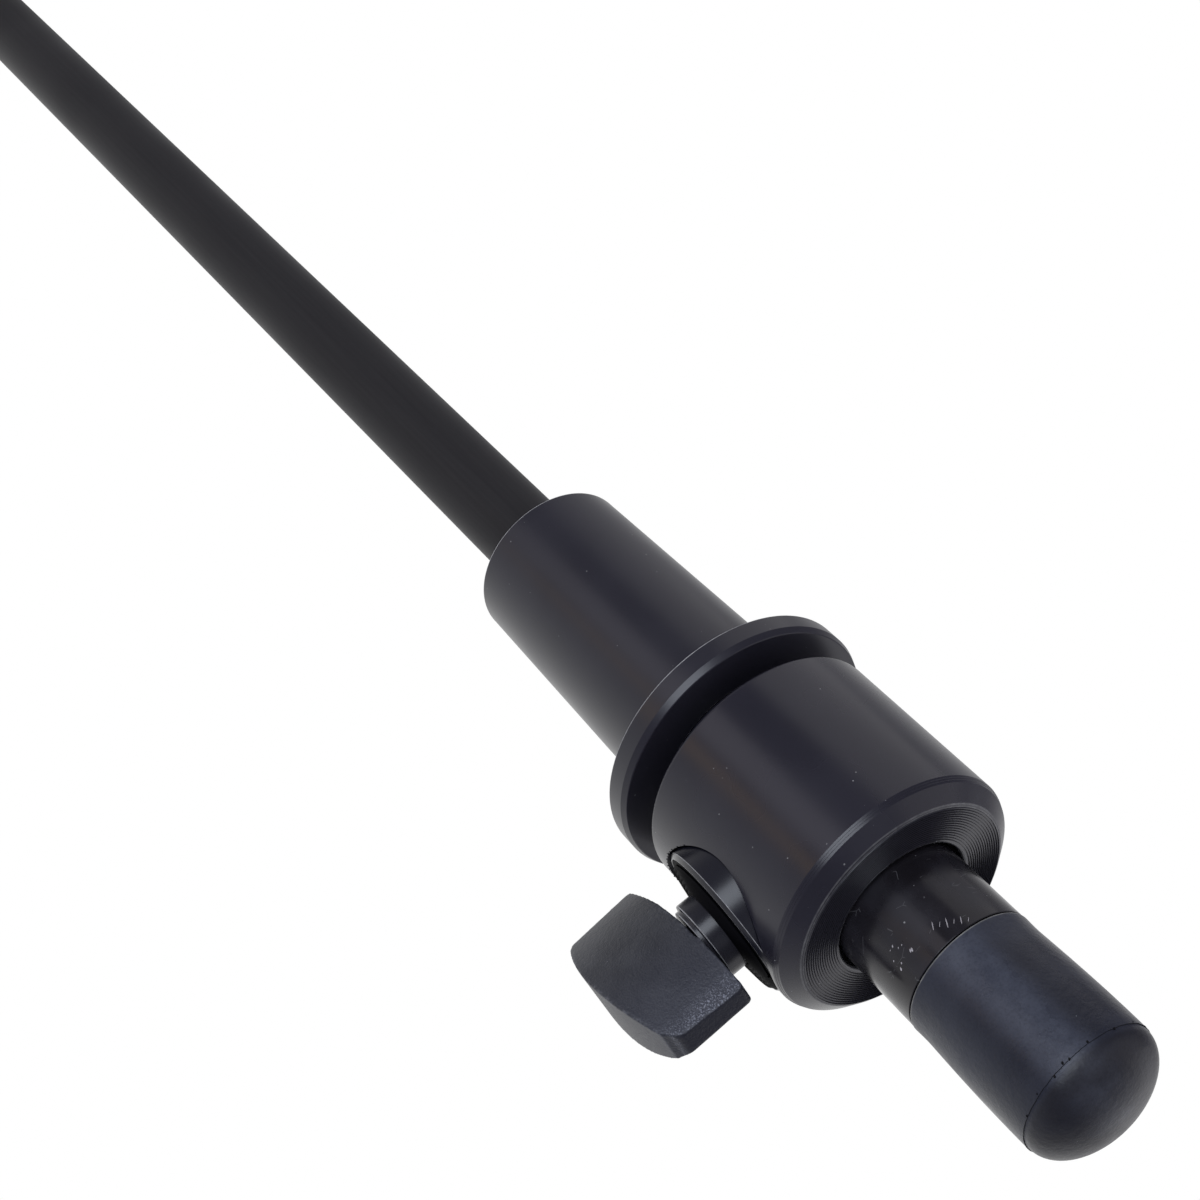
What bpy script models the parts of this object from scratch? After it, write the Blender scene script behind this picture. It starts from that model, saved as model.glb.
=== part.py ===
"""Double bass endpin: tapered plug, clamp body, radial wing screw, carbon rod and rubber tip.

The axis of the rod is Z. The plug points up, into the instrument's end block, and the rubber tip points
down. Z = 0 is the seat of the plug's flange against the instrument. The clamp screw points along +X.
"""

import math

import bmesh
import bpy
from mathutils import Matrix

MM = 0.001

# Running and seating clearances
SEAT_GAP = 0.30 * MM
RUNNING_GAP = 0.20 * MM
THREAD_GAP = 0.30 * MM

# Carbon rod and its two end pieces
ROD_DIAMETER = 16.0 * MM
ROD_WALL = 2.0 * MM
ROD_LENGTH = 431.0 * MM
CAP_THICKNESS = 2.0 * MM
CAP_SPIGOT = 12.0 * MM
CAP_EDGE = 0.6 * MM

# Tapered plug with its flange
PLUG_LENGTH = 55.3 * MM
PLUG_TIP_DIAMETER = 30.1 * MM
PLUG_SEAT_DIAMETER = 32.6 * MM
PLUG_BORE_DIAMETER = 18.4 * MM
PLUG_EDGE = 0.4 * MM
FLANGE_DIAMETER = 48.0 * MM
FLANGE_THICKNESS = 4.8 * MM
FLANGE_BACK_EDGE = 0.3 * MM
FLANGE_FRONT_CHAMFER = 0.8 * MM
NECK_RECESS = 0.8 * MM

# Groove for the tail wire, and the threaded spigot that joins the body to the plug
GROOVE_WIDTH = 4.6 * MM
NECK_DIAMETER = 31.0 * MM
SPIGOT_DIAMETER = 24.0 * MM
SPIGOT_LENGTH = 16.0 * MM

# Clamp body
BODY_DIAMETER = 44.7 * MM
BODY_LENGTH = 35.7 * MM
BODY_BACK_RADIUS = 1.0 * MM
SHOULDER_LENGTH = 2.8 * MM
SHOULDER_EDGE = 0.35 * MM
FACE_DIAMETER = 38.4 * MM
FERRULE_POCKET_DIAMETER = 24.0 * MM
FERRULE_POCKET_DEPTH = 4.2 * MM
POCKET_CHAMFER = 0.3 * MM
BODY_BORE_DIAMETER = 17.2 * MM

# Guide bushes and the ring that stops the rod from rattling
UPPER_BUSH_DIAMETER = 22.0 * MM
UPPER_BUSH_LENGTH = 10.0 * MM
LOWER_BUSH_DIAMETER = 20.0 * MM
LOWER_BUSH_LENGTH = 7.0 * MM
RING_SECTION = 2.0 * MM
RING_HEIGHT = 26.0 * MM
RING_GROOVE_WIDTH = 2.6 * MM

# Clamp nut: the round insert in the side of the body that the screw runs through
SCREW_DROP = 27.4 * MM
NUT_DIAMETER = 27.2 * MM
NUT_POCKET_CLEARANCE = 0.4 * MM
NUT_SEAT = 14.0 * MM
NUT_RIM_DEPTH = 0.45 * MM
NUT_RIM_CHAMFER = 0.7 * MM
NUT_NOSE_HEIGHT = 0.8 * MM
NUT_NOSE_DIAMETER = 12.8 * MM
NUT_CONE_DIAMETER = 23.0 * MM
NUT_RIDGES = 5
NUT_RIDGE_DEPTH = 0.35 * MM
NUT_SPIGOT_DIAMETER = 17.4 * MM
NUT_SPIGOT_LENGTH = 2.6 * MM

# Pressure pad between the screw's end and the rod
PAD_DIAMETER = 12.0 * MM
PAD_THICKNESS = 3.8 * MM
PAD_EDGE = 0.4 * MM
PAD_TRAVEL = 2.5 * MM

# Thumb screw: shank, collar, neck and the round end that the wing is moulded on
SHANK_DIAMETER = 8.0 * MM
SHANK_TIP_DIAMETER = 5.0 * MM
SHANK_TIP_LENGTH = 1.6 * MM
COLLAR_DIAMETER = 13.7 * MM
COLLAR_THICKNESS = 3.0 * MM
COLLAR_EDGE = 0.35 * MM
NECK_WIDTH = 1.1 * MM
SCREW_NECK_DIAMETER = 12.2 * MM
TANG_DIAMETER = 7.0 * MM
TANG_LENGTH = 11.0 * MM

# Wing: a moulded paddle, as thick as its hub in the middle and thin at its ends
WING_SPAN = 34.6 * MM
WING_OUTER_SPAN = 33.0 * MM
WING_HEIGHT = 13.9 * MM
WING_CROWN = 2.8 * MM
WING_SWEEP = 0.6 * MM
WING_INNER_CORNER = 1.2 * MM
WING_OUTER_CORNER = 2.4 * MM
WING_TIGHT_CORNER = 1.0 * MM
WING_HUB_THICKNESS = 11.8 * MM
WING_END_THICKNESS = 3.1 * MM
WING_ROUNDING = 0.5 * MM
WING_OFFSET = 2.0 * MM
WING_LEAN = math.radians(4.4)
WING_TURN = math.radians(107.4)

# Ferrule, steel spike and rubber tip at the lower end of the rod
FERRULE_DIAMETER = 22.7 * MM
FERRULE_LENGTH = 18.9 * MM
FERRULE_EDGE = 0.5 * MM
FERRULE_TENON = 20.0 * MM
TIP_SPIGOT_DIAMETER = 16.0 * MM
TIP_SPIGOT_LENGTH = 13.6 * MM
SPIKE_DIAMETER = 8.0 * MM
SPIKE_SOCKET = 12.0 * MM
SPIKE_SHOULDER = 3.0 * MM
SPIKE_POINT = 6.0 * MM
TIP_DISC_THICKNESS = 1.2 * MM
TIP_LIP_DIAMETER = 22.9 * MM
TIP_LIP_LENGTH = 1.4 * MM
TIP_WAIST_DIAMETER = 22.6 * MM
TIP_DIAMETER = 23.6 * MM
TIP_WIDEST = 18.0 * MM
TIP_SIDE_LENGTH = 24.5 * MM
TIP_SEAM_STEP = 0.15 * MM
TIP_DOME = 6.6 * MM

# Facets of the turned pieces
FINE_FACETS = 56
FACETS = 48
HIDDEN_FACETS = 24

# Places that follow from the sizes
ROD_RADIUS = ROD_DIAMETER / 2
GUIDE_RADIUS = ROD_RADIUS + RUNNING_GAP
BODY_TOP = -FLANGE_THICKNESS - GROOVE_WIDTH
BODY_FACE = BODY_TOP - BODY_LENGTH
POCKET_FLOOR = BODY_FACE + FERRULE_POCKET_DEPTH
FERRULE_TOP = POCKET_FLOOR - SEAT_GAP
FERRULE_BOTTOM = FERRULE_TOP - FERRULE_LENGTH
ROD_BOTTOM = FERRULE_TOP + SEAT_GAP
ROD_TOP = ROD_BOTTOM + ROD_LENGTH
TIP_TOP = FERRULE_BOTTOM - SEAT_GAP
TIP_SPIGOT_END = FERRULE_BOTTOM - TIP_SPIGOT_LENGTH
SPIKE_TIP = TIP_SPIGOT_END - SPIKE_SHOULDER - SPIKE_POINT
SCREW_LEVEL = -SCREW_DROP
PAD_BACK = ROD_RADIUS + RUNNING_GAP + PAD_THICKNESS
SHANK_END = PAD_BACK + SEAT_GAP
NUT_RIM = BODY_DIAMETER / 2 - NUT_RIM_DEPTH
NUT_TOP =NUT_RIM + NUT_NOSE_HEIGHT
COLLAR_BASE = NUT_TOP + SEAT_GAP
COLLAR_TOP = COLLAR_BASE + COLLAR_THICKNESS
WING_BASE = COLLAR_TOP + NECK_WIDTH


def clear_scene():
    for obj in list(bpy.data.objects):
        bpy.data.objects.remove(obj, do_unlink=True)
    for old in list(bpy.data.collections):
        bpy.data.collections.remove(old)


def make_collection(name):
    collection = bpy.data.collections.new(name)
    bpy.context.scene.collection.children.link(collection)
    return collection


def make_material(name, colour, roughness, metallic):
    material = bpy.data.materials.new(name)
    material.use_nodes = True
    shader = material.node_tree.nodes["Principled BSDF"]
    shader.inputs["Base Color"].default_value = (*colour, 1.0)
    shader.inputs["Roughness"].default_value = roughness
    shader.inputs["Metallic"].default_value = metallic
    material.diffuse_color = (*colour, 1.0)
    return material


def add_object(name, mesh, collection, material=None):
    obj = bpy.data.objects.new(name, mesh)
    collection.objects.link(obj)
    if material:
        mesh.materials.append(material)
    return obj


def as_cutter(obj):
    obj.hide_render = True
    obj.display_type = "WIRE"
    return obj


def arc(centre, radius, start, end, segments):
    """Points (across, along) on an arc, its angles in degrees from the +across direction."""
    points = []
    for step in range(segments + 1):
        angle = math.radians(start + (end - start) * step / segments)
        points.append((centre[0] + radius[0] * math.cos(angle), centre[1] + radius[1] * math.sin(angle)))
    return points


def turned(name, profile, facets, collection, material=None):
    """A piece turned about Z from (radius, height) points that run down its outer side."""
    shape = bmesh.new()
    corners = [shape.verts.new((radius, 0.0, height)) for radius, height in profile]
    for first, second in zip(corners, corners[1:]):
        shape.edges.new((first, second))
    if profile[0][0] > 0:
        shape.edges.new((corners[-1], corners[0]))
    mesh = bpy.data.meshes.new(name)
    shape.to_mesh(mesh)
    shape.free()
    obj = add_object(name, mesh, collection, material)
    screw = obj.modifiers.new("turn", "SCREW")
    screw.axis = "Z"
    screw.angle = math.tau
    screw.steps = facets
    screw.render_steps = facets
    screw.use_merge_vertices = True
    screw.merge_threshold = 0.00001
    screw.use_smooth_shade = True
    return obj


def lay_along_x(obj, parent=None):
    """Turns a piece made about Z so that its axis is the clamp screw's axis, out of the body along +X."""
    obj.rotation_euler = (0.0, math.pi / 2, 0.0)
    obj.location = (0.0, 0.0, SCREW_LEVEL)
    if parent:
        obj.parent = parent
        obj.location = (0.0, 0.0, 0.0)
    return obj


def cut(obj, cutter, label):
    boolean = obj.modifiers.new(label, "BOOLEAN")
    boolean.operation = "DIFFERENCE"
    boolean.solver = "EXACT"
    boolean.object = cutter
    return boolean


def make_end_plug(parts, material):
    """Tapered sleeve that sits in the end block, with the flange that rests against it."""
    tip = PLUG_TIP_DIAMETER / 2
    seat = PLUG_SEAT_DIAMETER / 2
    rim = FLANGE_DIAMETER / 2
    bore = PLUG_BORE_DIAMETER / 2
    bush_socket = UPPER_BUSH_DIAMETER / 2 + SEAT_GAP
    spigot_socket = SPIGOT_DIAMETER / 2 + THREAD_GAP
    neck_socket = NECK_DIAMETER / 2 + SEAT_GAP
    socket_end = SPIGOT_LENGTH - FLANGE_THICKNESS
    ring_radius = ROD_RADIUS + RUNNING_GAP + RING_SECTION + RUNNING_GAP
    ring_top = RING_HEIGHT + RING_GROOVE_WIDTH / 2
    ring_bottom = RING_HEIGHT - RING_GROOVE_WIDTH / 2
    profile = [
        (bush_socket, PLUG_LENGTH),
        (tip - PLUG_EDGE, PLUG_LENGTH),
        (tip, PLUG_LENGTH - PLUG_EDGE),
        (seat, 0.0),
        (rim - FLANGE_BACK_EDGE, 0.0),
        (rim, -FLANGE_BACK_EDGE),
        (rim, FLANGE_FRONT_CHAMFER - FLANGE_THICKNESS),
        (rim - FLANGE_FRONT_CHAMFER, -FLANGE_THICKNESS),
        (neck_socket, -FLANGE_THICKNESS),
        (neck_socket, NECK_RECESS - FLANGE_THICKNESS),
        (spigot_socket, NECK_RECESS - FLANGE_THICKNESS),
        (spigot_socket, socket_end),
        (bore, socket_end),
        (bore, ring_bottom),
        (ring_radius, ring_bottom),
        (ring_radius, ring_top),
        (bore, ring_top),
        (bore, PLUG_LENGTH - UPPER_BUSH_LENGTH - SEAT_GAP),
        (bush_socket, PLUG_LENGTH - UPPER_BUSH_LENGTH - SEAT_GAP),
    ]
    return turned("end_plug", profile, FINE_FACETS, parts, material)


def make_clamp_body(parts, cutters, material):
    """Barrel with the tail wire's groove behind it, the rod's bore and the round pocket in its side."""
    radius = BODY_DIAMETER / 2
    face = FACE_DIAMETER / 2
    neck = NECK_DIAMETER / 2
    spigot = SPIGOT_DIAMETER / 2
    pocket = FERRULE_POCKET_DIAMETER / 2
    bore = BODY_BORE_DIAMETER / 2
    bush_socket = LOWER_BUSH_DIAMETER / 2 + SEAT_GAP
    bush_end = POCKET_FLOOR + LOWER_BUSH_LENGTH + SEAT_GAP
    spigot_top = SPIGOT_LENGTH - FLANGE_THICKNESS - SEAT_GAP
    neck_top = NECK_RECESS - FLANGE_THICKNESS - SEAT_GAP
    shoulder_top = BODY_FACE + SHOULDER_LENGTH
    profile = [(bore, spigot_top), (spigot, spigot_top), (spigot, neck_top), (neck, neck_top), (neck, BODY_TOP)]
    back_centre = (radius - BODY_BACK_RADIUS, BODY_TOP - BODY_BACK_RADIUS)
    profile += arc(back_centre, (BODY_BACK_RADIUS, BODY_BACK_RADIUS), 90, 0, 4)
    profile += [
        (radius, shoulder_top + SHOULDER_EDGE),
        (radius - SHOULDER_EDGE * 0.4, shoulder_top - SHOULDER_EDGE * 0.4),
        (face + SHOULDER_EDGE * 0.5, BODY_FACE + SHOULDER_EDGE * 0.3),
        (face - SHOULDER_EDGE, BODY_FACE),
        (pocket + POCKET_CHAMFER, BODY_FACE),
        (pocket, BODY_FACE + POCKET_CHAMFER),
        (pocket, POCKET_FLOOR),
        (bush_socket, POCKET_FLOOR),
        (bush_socket, bush_end),
        (bore, bush_end),
    ]
    body = turned("clamp_body", profile, FINE_FACETS, parts, material)

    pocket_radius = NUT_DIAMETER / 2 + NUT_POCKET_CLEARANCE
    spigot_radius = NUT_SPIGOT_DIAMETER / 2 + THREAD_GAP
    pad_radius = PAD_DIAMETER / 2 + THREAD_GAP
    spigot_floor = NUT_SEAT - NUT_SPIGOT_LENGTH - SEAT_GAP
    cutter_profile = [
        (0.0, BODY_DIAMETER),
        (pocket_radius, BODY_DIAMETER),
        (pocket_radius, NUT_SEAT - SEAT_GAP),
        (spigot_radius, NUT_SEAT - SEAT_GAP),
        (spigot_radius, spigot_floor),
        (pad_radius, spigot_floor),
        (pad_radius, 0.0),
        (0.0, 0.0),
    ]
    side_cutter = as_cutter(turned("cut_nut_pocket", cutter_profile, FINE_FACETS, cutters))
    lay_along_x(side_cutter)
    cut(body, side_cutter, "nut pocket")
    return body


def make_bush(name, diameter, top, length, parts, material):
    profile = [
        (GUIDE_RADIUS, top),
        (diameter / 2, top),
        (diameter / 2, top - length),
        (GUIDE_RADIUS, top - length),
    ]
    return turned(name, profile, HIDDEN_FACETS, parts, material)


def make_rattle_ring(parts, material):
    centre = (GUIDE_RADIUS + RING_SECTION / 2, RING_HEIGHT)
    profile = arc(centre, (RING_SECTION / 2, RING_SECTION / 2), 90, -270 + 36, 9)
    return turned("rattle_ring", profile, HIDDEN_FACETS, parts, material)


def make_clamp_nut(parts, material):
    """Threaded insert in the body's side, with turned ridges round the screw."""
    outer = NUT_DIAMETER / 2
    nose = NUT_NOSE_DIAMETER / 2
    cone = NUT_CONE_DIAMETER / 2
    bore = SHANK_DIAMETER / 2 + THREAD_GAP
    chamber = PAD_DIAMETER / 2 + THREAD_GAP
    chamber_end = PAD_BACK + PAD_TRAVEL + 2 * SEAT_GAP
    spigot = NUT_SPIGOT_DIAMETER / 2
    spigot_end = NUT_SEAT - NUT_SPIGOT_LENGTH
    profile = [(bore, NUT_TOP), (nose, NUT_TOP)]
    for ridge in range(NUT_RIDGES):
        start = ridge / NUT_RIDGES
        crest = (ridge + 0.65) / NUT_RIDGES
        end = (ridge + 1) / NUT_RIDGES
        valley_height = NUT_TOP - NUT_NOSE_HEIGHT * crest - NUT_RIDGE_DEPTH * (1 - start)
        profile.append((nose + (cone - nose) * (start + 0.15 / NUT_RIDGES), valley_height))
        profile.append((nose + (cone - nose) * crest, NUT_TOP - NUT_NOSE_HEIGHT * crest))
        if ridge == NUT_RIDGES - 1:
            profile.append((nose + (cone - nose) * end, NUT_RIM))
    profile += [
        (outer - NUT_RIM_CHAMFER, NUT_RIM),
        (outer, NUT_RIM - NUT_RIM_CHAMFER),
        (outer, NUT_SEAT),
        (spigot, NUT_SEAT),
        (spigot, spigot_end),
        (chamber, spigot_end),
        (chamber, chamber_end),
        (bore, chamber_end),
    ]
    return lay_along_x(turned("clamp_nut", profile, FACETS, parts, material))


def make_pressure_pad(parts, cutters, material):
    """Round shoe with a hollow face that fits the rod."""
    radius = PAD_DIAMETER / 2
    inner_end = ROD_RADIUS * 0.4
    profile = [
        (0.0, PAD_BACK),
        (radius - PAD_EDGE, PAD_BACK),
        (radius, PAD_BACK - PAD_EDGE),
        (radius, inner_end),
        (0.0, inner_end),
    ]
    pad = lay_along_x(turned("pressure_pad", profile, FACETS, parts, material))
    reach = PAD_DIAMETER
    cutter_profile = [
        (0.0, SCREW_LEVEL + reach),
        (GUIDE_RADIUS, SCREW_LEVEL + reach),
        (GUIDE_RADIUS, SCREW_LEVEL - reach),
        (0.0, SCREW_LEVEL - reach),
    ]
    rod_cutter = as_cutter(turned("cut_rod_seat", cutter_profile, FINE_FACETS, cutters))
    cut(pad, rod_cutter, "rod seat")
    return pad


def make_thumb_stud(parts, parent, material):
    """Steel screw: threaded shank, collar and the tang that the wing is moulded on."""
    shank = SHANK_DIAMETER / 2
    point = SHANK_TIP_DIAMETER / 2
    collar = COLLAR_DIAMETER / 2
    neck = SCREW_NECK_DIAMETER / 2
    tang = TANG_DIAMETER / 2
    neck_top = WING_BASE - SEAT_GAP
    profile = [
        (0.0, neck_top + TANG_LENGTH),
        (tang, neck_top + TANG_LENGTH),
        (tang, neck_top),
        (neck, neck_top),
        (neck, COLLAR_TOP),
        (collar - COLLAR_EDGE, COLLAR_TOP),
        (collar, COLLAR_TOP - COLLAR_EDGE),
        (collar, COLLAR_BASE + COLLAR_EDGE),
        (collar - COLLAR_EDGE, COLLAR_BASE),
        (shank, COLLAR_BASE),
        (shank, SHANK_END + SHANK_TIP_LENGTH + shank - point),
        (point, SHANK_END + SHANK_TIP_LENGTH),
        (point, SHANK_END),
        (0.0, SHANK_END),
    ]
    return lay_along_x(turned("thumb_stud", profile, FACETS, parts, material), parent)


def wing_side(outer_corner):
    """One half of the paddle's outline as (outward, across) points, from the hub to the crown."""
    half = WING_SPAN / 2
    outer_half = WING_OUTER_SPAN / 2
    inner = WING_BASE + WING_SWEEP
    outer = WING_BASE + WING_HEIGHT
    points = [(WING_BASE, SCREW_NECK_DIAMETER / 2)]
    points += arc((inner + WING_INNER_CORNER, half - WING_INNER_CORNER), (WING_INNER_CORNER,) * 2, 170, 100, 3)
    points += arc((outer - outer_corner, outer_half - outer_corner), (outer_corner,) * 2, 80, 25, 3)
    steps = 8
    for step in range(1, steps):
        across = (outer_half - outer_corner * 0.6) * (1 - step / steps)
        points.append((outer + WING_CROWN * (1 - (across / outer_half) ** 2), across))
    return points


def wing_outline():
    """Swept inner edge, crowned outer edge, one wide and one tight outer corner."""
    left = [(outward, -across) for outward, across in reversed(wing_side(WING_OUTER_CORNER))]
    return wing_side(WING_TIGHT_CORNER) + [(WING_BASE + WING_HEIGHT + WING_CROWN, 0.0)] + left


def prism(name, points, depth, collection):
    """A closed solid: an outline in local XY, extruded to both sides of that plane."""
    shape = bmesh.new()
    ring = [shape.verts.new((across, along, -depth / 2)) for across, along in points]
    face = shape.faces.new(ring)
    extruded = bmesh.ops.extrude_face_region(shape, geom=[face])
    moved = [item for item in extruded["geom"] if isinstance(item, bmesh.types.BMVert)]
    bmesh.ops.translate(shape, verts=moved, vec=(0.0, 0.0, depth))
    bmesh.ops.recalc_face_normals(shape, faces=shape.faces)
    mesh = bpy.data.meshes.new(name)
    shape.to_mesh(mesh)
    shape.free()
    return add_object(name, mesh, collection)


def make_wing_head(parts, cutters, parent, material):
    """Moulded paddle: its flat outline and its lens section, thick at the hub, meet in one solid."""
    wing = prism("wing_head", wing_outline(), WING_HUB_THICKNESS * 2, parts)
    wing.data.materials.append(material)

    lens = []
    half = WING_SPAN / 2
    reach = half + WING_END_THICKNESS / 4
    steps = 15
    for side in (1, -1):
        for step in range(steps + 1):
            across = side * reach * (1 - 2 * step / steps)
            bulge = (WING_HUB_THICKNESS - WING_END_THICKNESS) * (1 - (across / half) ** 2)
            lens.append((across, side * (WING_END_THICKNESS + bulge) / 2))
    section = as_cutter(prism("keep_wing_section", lens, WING_HEIGHT * 4, cutters))
    section.data.transform(Matrix(((0, 0, 1, WING_BASE), (1, 0, 0, 0), (0, 1, 0, 0), (0, 0, 0, 1))))

    pivot = Matrix.Translation((COLLAR_TOP, 0.0, 0.0))
    lean = pivot @ Matrix.Rotation(-WING_LEAN, 4, "Z") @ Matrix.Translation((0.0, WING_OFFSET, 0.0)) @ pivot.inverted()
    wing.data.transform(lean)
    section.data.transform(lean)

    tang_socket = TANG_DIAMETER / 2 + SEAT_GAP
    tang_socket_end = WING_BASE + TANG_LENGTH
    spot_face = SCREW_NECK_DIAMETER / 2 + 2 * SEAT_GAP
    hole_profile = [
        (0.0, tang_socket_end),
        (tang_socket, tang_socket_end),
        (tang_socket, WING_BASE),
        (spot_face, WING_BASE),
        (spot_face, COLLAR_TOP),
        (0.0, COLLAR_TOP),
    ]
    hole = as_cutter(turned("cut_tang_socket", hole_profile, HIDDEN_FACETS, cutters))
    hole.rotation_euler = (0.0, math.pi / 2, 0.0)

    for piece in (wing, section, hole):
        piece.parent = parent
    keep = wing.modifiers.new("lens section", "BOOLEAN")
    keep.operation = "INTERSECT"
    keep.solver = "EXACT"
    keep.object = section
    rounding = wing.modifiers.new("rounding", "BEVEL")
    rounding.width = WING_ROUNDING
    rounding.segments = 2
    rounding.limit_method = "ANGLE"
    rounding.angle_limit = math.radians(40)
    rounding.use_clamp_overlap = False
    cut(wing, hole, "tang socket")
    return wing


def make_carbon_rod(parts, material):
    inner = ROD_RADIUS - ROD_WALL
    profile = [(inner, ROD_TOP), (ROD_RADIUS, ROD_TOP), (ROD_RADIUS, ROD_BOTTOM), (inner, ROD_BOTTOM)]
    return turned("carbon_rod", profile, FACETS, parts, material)


def make_rod_cap(parts, material):
    """Plug that closes the tube's upper end."""
    tenon = ROD_RADIUS - ROD_WALL - SEAT_GAP
    base = ROD_TOP + SEAT_GAP
    profile = [
        (0.0, base + CAP_THICKNESS),
        (ROD_RADIUS - CAP_EDGE, base + CAP_THICKNESS),
        (ROD_RADIUS, base + CAP_THICKNESS - CAP_EDGE),
        (ROD_RADIUS, base),
        (tenon, base),
        (tenon, base - CAP_SPIGOT),
        (0.0, base - CAP_SPIGOT),
    ]
    return turned("rod_cap", profile, HIDDEN_FACETS, parts, material)


def make_tip_ferrule(parts, material):
    """Metal sleeve at the rod's lower end: a tenon in the tube above, a spigot for the rubber tip below."""
    outer = FERRULE_DIAMETER / 2
    tenon = ROD_RADIUS - ROD_WALL - SEAT_GAP
    spigot = TIP_SPIGOT_DIAMETER / 2
    socket = SPIKE_DIAMETER / 2 + THREAD_GAP
    socket_top = TIP_SPIGOT_END + SPIKE_SOCKET + SEAT_GAP
    profile = [
        (0.0, FERRULE_TOP + FERRULE_TENON),
        (tenon, FERRULE_TOP + FERRULE_TENON),
        (tenon, FERRULE_TOP),
        (outer - FERRULE_EDGE, FERRULE_TOP),
        (outer, FERRULE_TOP - FERRULE_EDGE),
        (outer, FERRULE_BOTTOM),
        (spigot, FERRULE_BOTTOM),
        (spigot, TIP_SPIGOT_END + FERRULE_EDGE),
        (spigot - FERRULE_EDGE, TIP_SPIGOT_END),
        (socket, TIP_SPIGOT_END),
        (socket, socket_top),
        (0.0, socket_top),
    ]
    return turned("tip_ferrule", profile, FACETS, parts, material)


def make_tip_spike(parts, material):
    """Steel point that grips a wooden floor once the rubber tip is pulled off."""
    radius = SPIKE_DIAMETER / 2
    shoulder = TIP_SPIGOT_END - SPIKE_SHOULDER
    profile = [
        (0.0, TIP_SPIGOT_END + SPIKE_SOCKET),
        (radius, TIP_SPIGOT_END + SPIKE_SOCKET),
        (radius, shoulder),
        (0.0, SPIKE_TIP),
    ]
    return turned("tip_spike", profile, HIDDEN_FACETS, parts, material)


def make_tip_disc(parts, material):
    """Steel disc in the rubber's floor, which keeps the spike from punching through."""
    radius = SPIKE_DIAMETER / 2
    top = SPIKE_TIP - SEAT_GAP
    profile = [
        (0.0, top),
        (radius, top),
        (radius, top - TIP_DISC_THICKNESS),
        (0.0, top - TIP_DISC_THICKNESS),
    ]
    return turned("tip_disc", profile, HIDDEN_FACETS, parts, material)


def make_rubber_tip(parts, cutters, material):
    """Bullet-shaped rubber foot with a thin lip, a moulding line and a socket for spigot, spike and disc."""
    lip = TIP_LIP_DIAMETER / 2
    waist = TIP_WAIST_DIAMETER / 2
    bulge = (TIP_DIAMETER - TIP_WAIST_DIAMETER) / 2
    lip_radius = TIP_LIP_LENGTH / 2
    side_length = TIP_SIDE_LENGTH - TIP_LIP_LENGTH
    seam_level = TIP_TOP - TIP_SIDE_LENGTH
    profile = [(0.0, TIP_TOP)]
    profile += arc((lip - lip_radius, TIP_TOP - lip_radius), (lip_radius, lip_radius), 90, -40, 5)
    steps = 8
    for step in range(steps + 1):
        down = side_length * step / steps
        swell = bulge * math.sin(math.pi / 2 * down / TIP_WIDEST)
        profile.append((waist + swell, TIP_TOP - TIP_LIP_LENGTH - down))
    dome_radius = profile[-1][0] - TIP_SEAM_STEP
    profile += arc((0.0, seam_level - TIP_SEAM_STEP), (dome_radius, TIP_DOME - TIP_SEAM_STEP), 0, -90, 9)
    profile[-1] = (0.0, seam_level - TIP_DOME)
    tip = turned("rubber_tip", profile, FACETS, parts, material)

    spigot = TIP_SPIGOT_DIAMETER / 2 + SEAT_GAP
    spigot_end = TIP_SPIGOT_END - SEAT_GAP
    pocket = SPIKE_DIAMETER / 2 + SEAT_GAP
    pocket_end = SPIKE_TIP - TIP_DISC_THICKNESS - 2 * SEAT_GAP
    socket_profile = [
        (0.0, TIP_TOP + spigot),
        (spigot, TIP_TOP + spigot),
        (spigot, spigot_end),
        (pocket, spigot_end),
        (pocket, pocket_end),
        (0.0, pocket_end),
    ]
    cut(tip, as_cutter(turned("cut_tip_socket", socket_profile, FACETS, cutters)), "socket")
    return tip


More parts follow.
